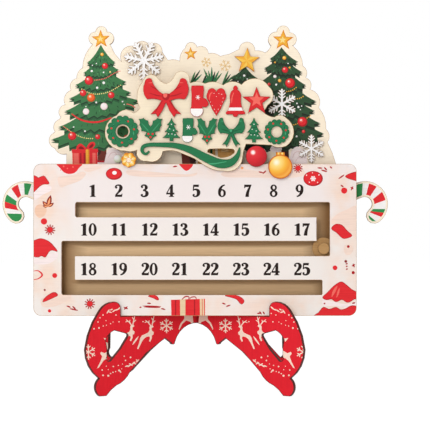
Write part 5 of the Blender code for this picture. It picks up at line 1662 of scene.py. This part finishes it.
def print_flower(sheet):
    """Gold flower: lit petals with deep gold between them, round a pearl-white middle."""
    middle, (_, height) = middle_and_size("flower_gold")
    radius = height / 2
    sheet.lay("gold_deep", oval(*middle, 2 * radius))
    for petal in range(PETALS):
        turn = 2 * math.pi * (petal + PETAL_TURN) / PETALS
        for ink, length, half, lean in PETAL_LAYERS:
            sheet.lay(ink, leaf(*middle, radius * length, radius * half, turn + lean))
    sheet.lay("gold_deep", oval(*middle, radius * FLOWER_RIM))
    sheet.lay("cream_light", oval(*middle, radius * FLOWER_MIDDLE))
    for stamen in range(STAMENS):
        spot = away(*middle, STAMEN_RING * radius, 2 * math.pi * stamen / STAMENS)
        sheet.lay("gold", oval(*spot, STAMEN_SIZE * radius, steps=8))


def print_raised_star(sheet):
    """Gold star, with one side of each arm lit and the other in shade."""
    (middle_x, middle_z), (width, height) = middle_and_size("star_raised")
    radius = width / 2 / math.cos(math.radians(18))  # the upper arms lie 18 degrees up
    centre = (middle_x, middle_z + height / 2 - radius)
    corners = [(x, 2 * centre[1] - z) for x, z in star(*centre, radius * STAR_RIM)]
    sheet.lay("gold_deep", oval(*centre, 2 * radius))
    for corner in range(0, len(corners), 2):
        before, after = corners[corner - 1], corners[(corner + 1) % len(corners)]
        sheet.lay("star_lit", [centre, before, corners[corner]])
        sheet.lay("gold", [centre, corners[corner], after])


# Print every board

TAN_WIDTH = 0.25              # mm, where the laser only tanned a large board's edge
PRINT_JOBS = [
    ("panel", panel, "printed_panel", [print_panel_border, print_numbers, print_track_ends],
     TAN_WIDTH, "toast"),
    ("scenery", scenery, "printed_cream", [print_scenery], TAN_WIDTH, "toast"),
    ("sign", sign, "printed_cream", [], TAN_WIDTH, "toast"),
    ("cane", canes, "printed_cane", [print_canes], TAN_WIDTH, "toast"),
    ("stand_left", stand_left, "printed_stand", [print_stand], CHAR_WIDTH, "char"),
    ("stand_right", stand_right, "printed_stand", [print_mirrored_stand], CHAR_WIDTH, "char"),
    ("red_motif", red_motifs, "printed_red", [print_red_motifs], TRIM_CHAR_WIDTH, "red_deep"),
    ("green_motif", green_motifs, "printed_green", [print_green_motifs], TRIM_CHAR_WIDTH,
     "green_deep"),
    ("snowflake", snowflakes, "printed_white", [], FINE_CHAR_WIDTH, "toast"),
    ("raised_star", star_trim, "printed_gold", [print_raised_star], FINE_CHAR_WIDTH,
     "gold_deep"),
    ("red_ball", red_ball, "printed_red", [print_red_ball], FINE_CHAR_WIDTH, "red_dark"),
    ("gold_ball", gold_ball, "printed_gold", [print_gold_ball], FINE_CHAR_WIDTH, "orange_deep"),
    ("flower", flower, "printed_gold", [print_flower], FINE_CHAR_WIDTH, "gold_deep"),
    ("pearl", pearl_trim, "printed_white", [print_pearl], FINE_CHAR_WIDTH, "snow_shade"),
]
for print_name, board, slot, steps, rim_width, rim_ink in PRINT_JOBS:
    sheet = Print(print_name, board, slot)
    for step in steps:
        step(sheet)
    sheet.scorch(rim_width, rim_ink)
    sheet.cure()


# Stage, light and camera.  The light is white and level, so that colours come out as written.

bpy.context.scene.view_settings.view_transform = "Standard"

WHITE = linear("#FFFFFF")
FLOOR_SIZE = 6.0
AMBIENT = 0.44                # share of full white, from all sides
SHADOW_SHARE = 0.20           # how much of the shadow the white floor shows
FLOOR_GLOW = 1.15             # makes up for the lit paint, which is a little under white


def direct_rays(tree):
    """Node, 1 for rays of the camera and of mirror images."""
    rays = add(tree, "LightPath").outputs
    return add(tree, "Math", {0: rays["Is Camera Ray"], 1: rays["Is Glossy Ray"]},
               operation="MAXIMUM")


def white_board():
    """White painted board: matt.

    Seen directly it is nearly the white of the room, so the shadow is faint and no horizon
    shows.  It lights the object from below like plain white paint.
    """
    material, tree, shader = new_finish("white_painted_board", roughness=0.9)
    shader.inputs["Base Color"].default_value = WHITE
    glow = add(tree, "Emission", {"Color": WHITE, "Strength": FLOOR_GLOW})
    share = add(tree, "Math", {0: direct_rays(tree), 1: 1 - SHADOW_SHARE}, operation="MULTIPLY")
    mixed = add(tree, "MixShader", {0: share, 1: shader, 2: glow})
    tree.links.new(result(mixed), tree.nodes["Material Output"].inputs["Surface"])
    return material


floor_mesh = bpy.data.meshes.new("floor")
reach = FLOOR_SIZE / 2
floor_mesh.from_pydata(
    [(-reach, -reach, 0), (reach, -reach, 0), (reach, reach, 0), (-reach, reach, 0)],
    [], [(0, 1, 2, 3)])
floor_mesh.materials.append(white_board())
floor = bpy.data.objects.new("floor", floor_mesh)
bpy.context.scene.collection.objects.link(floor)

world = bpy.data.worlds.new("white_studio")
bpy.context.scene.world = world
world.use_nodes = True
world_tree = world.node_tree
strength = add(world_tree, "MapRange", {
    "Value": direct_rays(world_tree), "To Min": AMBIENT, "To Max": 1.0})
background = world_tree.nodes["Background"]
background.inputs["Color"].default_value = WHITE
world_tree.links.new(result(strength), background.inputs["Strength"])

# name, place in metres, side in metres, watts
SOFTBOXES = [
    ("front_softbox", (-0.40, -1.50, 0.62), 0.75, 8.6),
    ("low_softbox", (-0.18, -1.50, 0.16), 0.75, 3.4),
    ("top_softbox", (0.0, 0.1, 1.9), 1.4, 6.8),
]
AIM = Vector((0.0, 0.0, 0.14))  # where every softbox is aimed
for light_name, place, side, watts in SOFTBOXES:
    light_data = bpy.data.lights.new(light_name, "AREA")
    light_data.size = side
    light_data.energy = watts
    light = bpy.data.objects.new(light_name, light_data)
    light.location = place
    light.rotation_euler = (AIM - light.location).to_track_quat("-Z", "Y").to_euler()
    bpy.context.scene.collection.objects.link(light)

camera_data = bpy.data.cameras.new("front_view")
camera_data.sensor_width = SENSOR
camera_data.lens = SENSOR * CAMERA_DISTANCE / (PICTURE_SIDE * PIXEL)
camera = bpy.data.objects.new("front_view", camera_data)
camera.location = CAMERA
camera.rotation_euler = (math.radians(90), 0.0, 0.0)
bpy.context.scene.collection.objects.link(camera)
bpy.context.scene.camera = camera
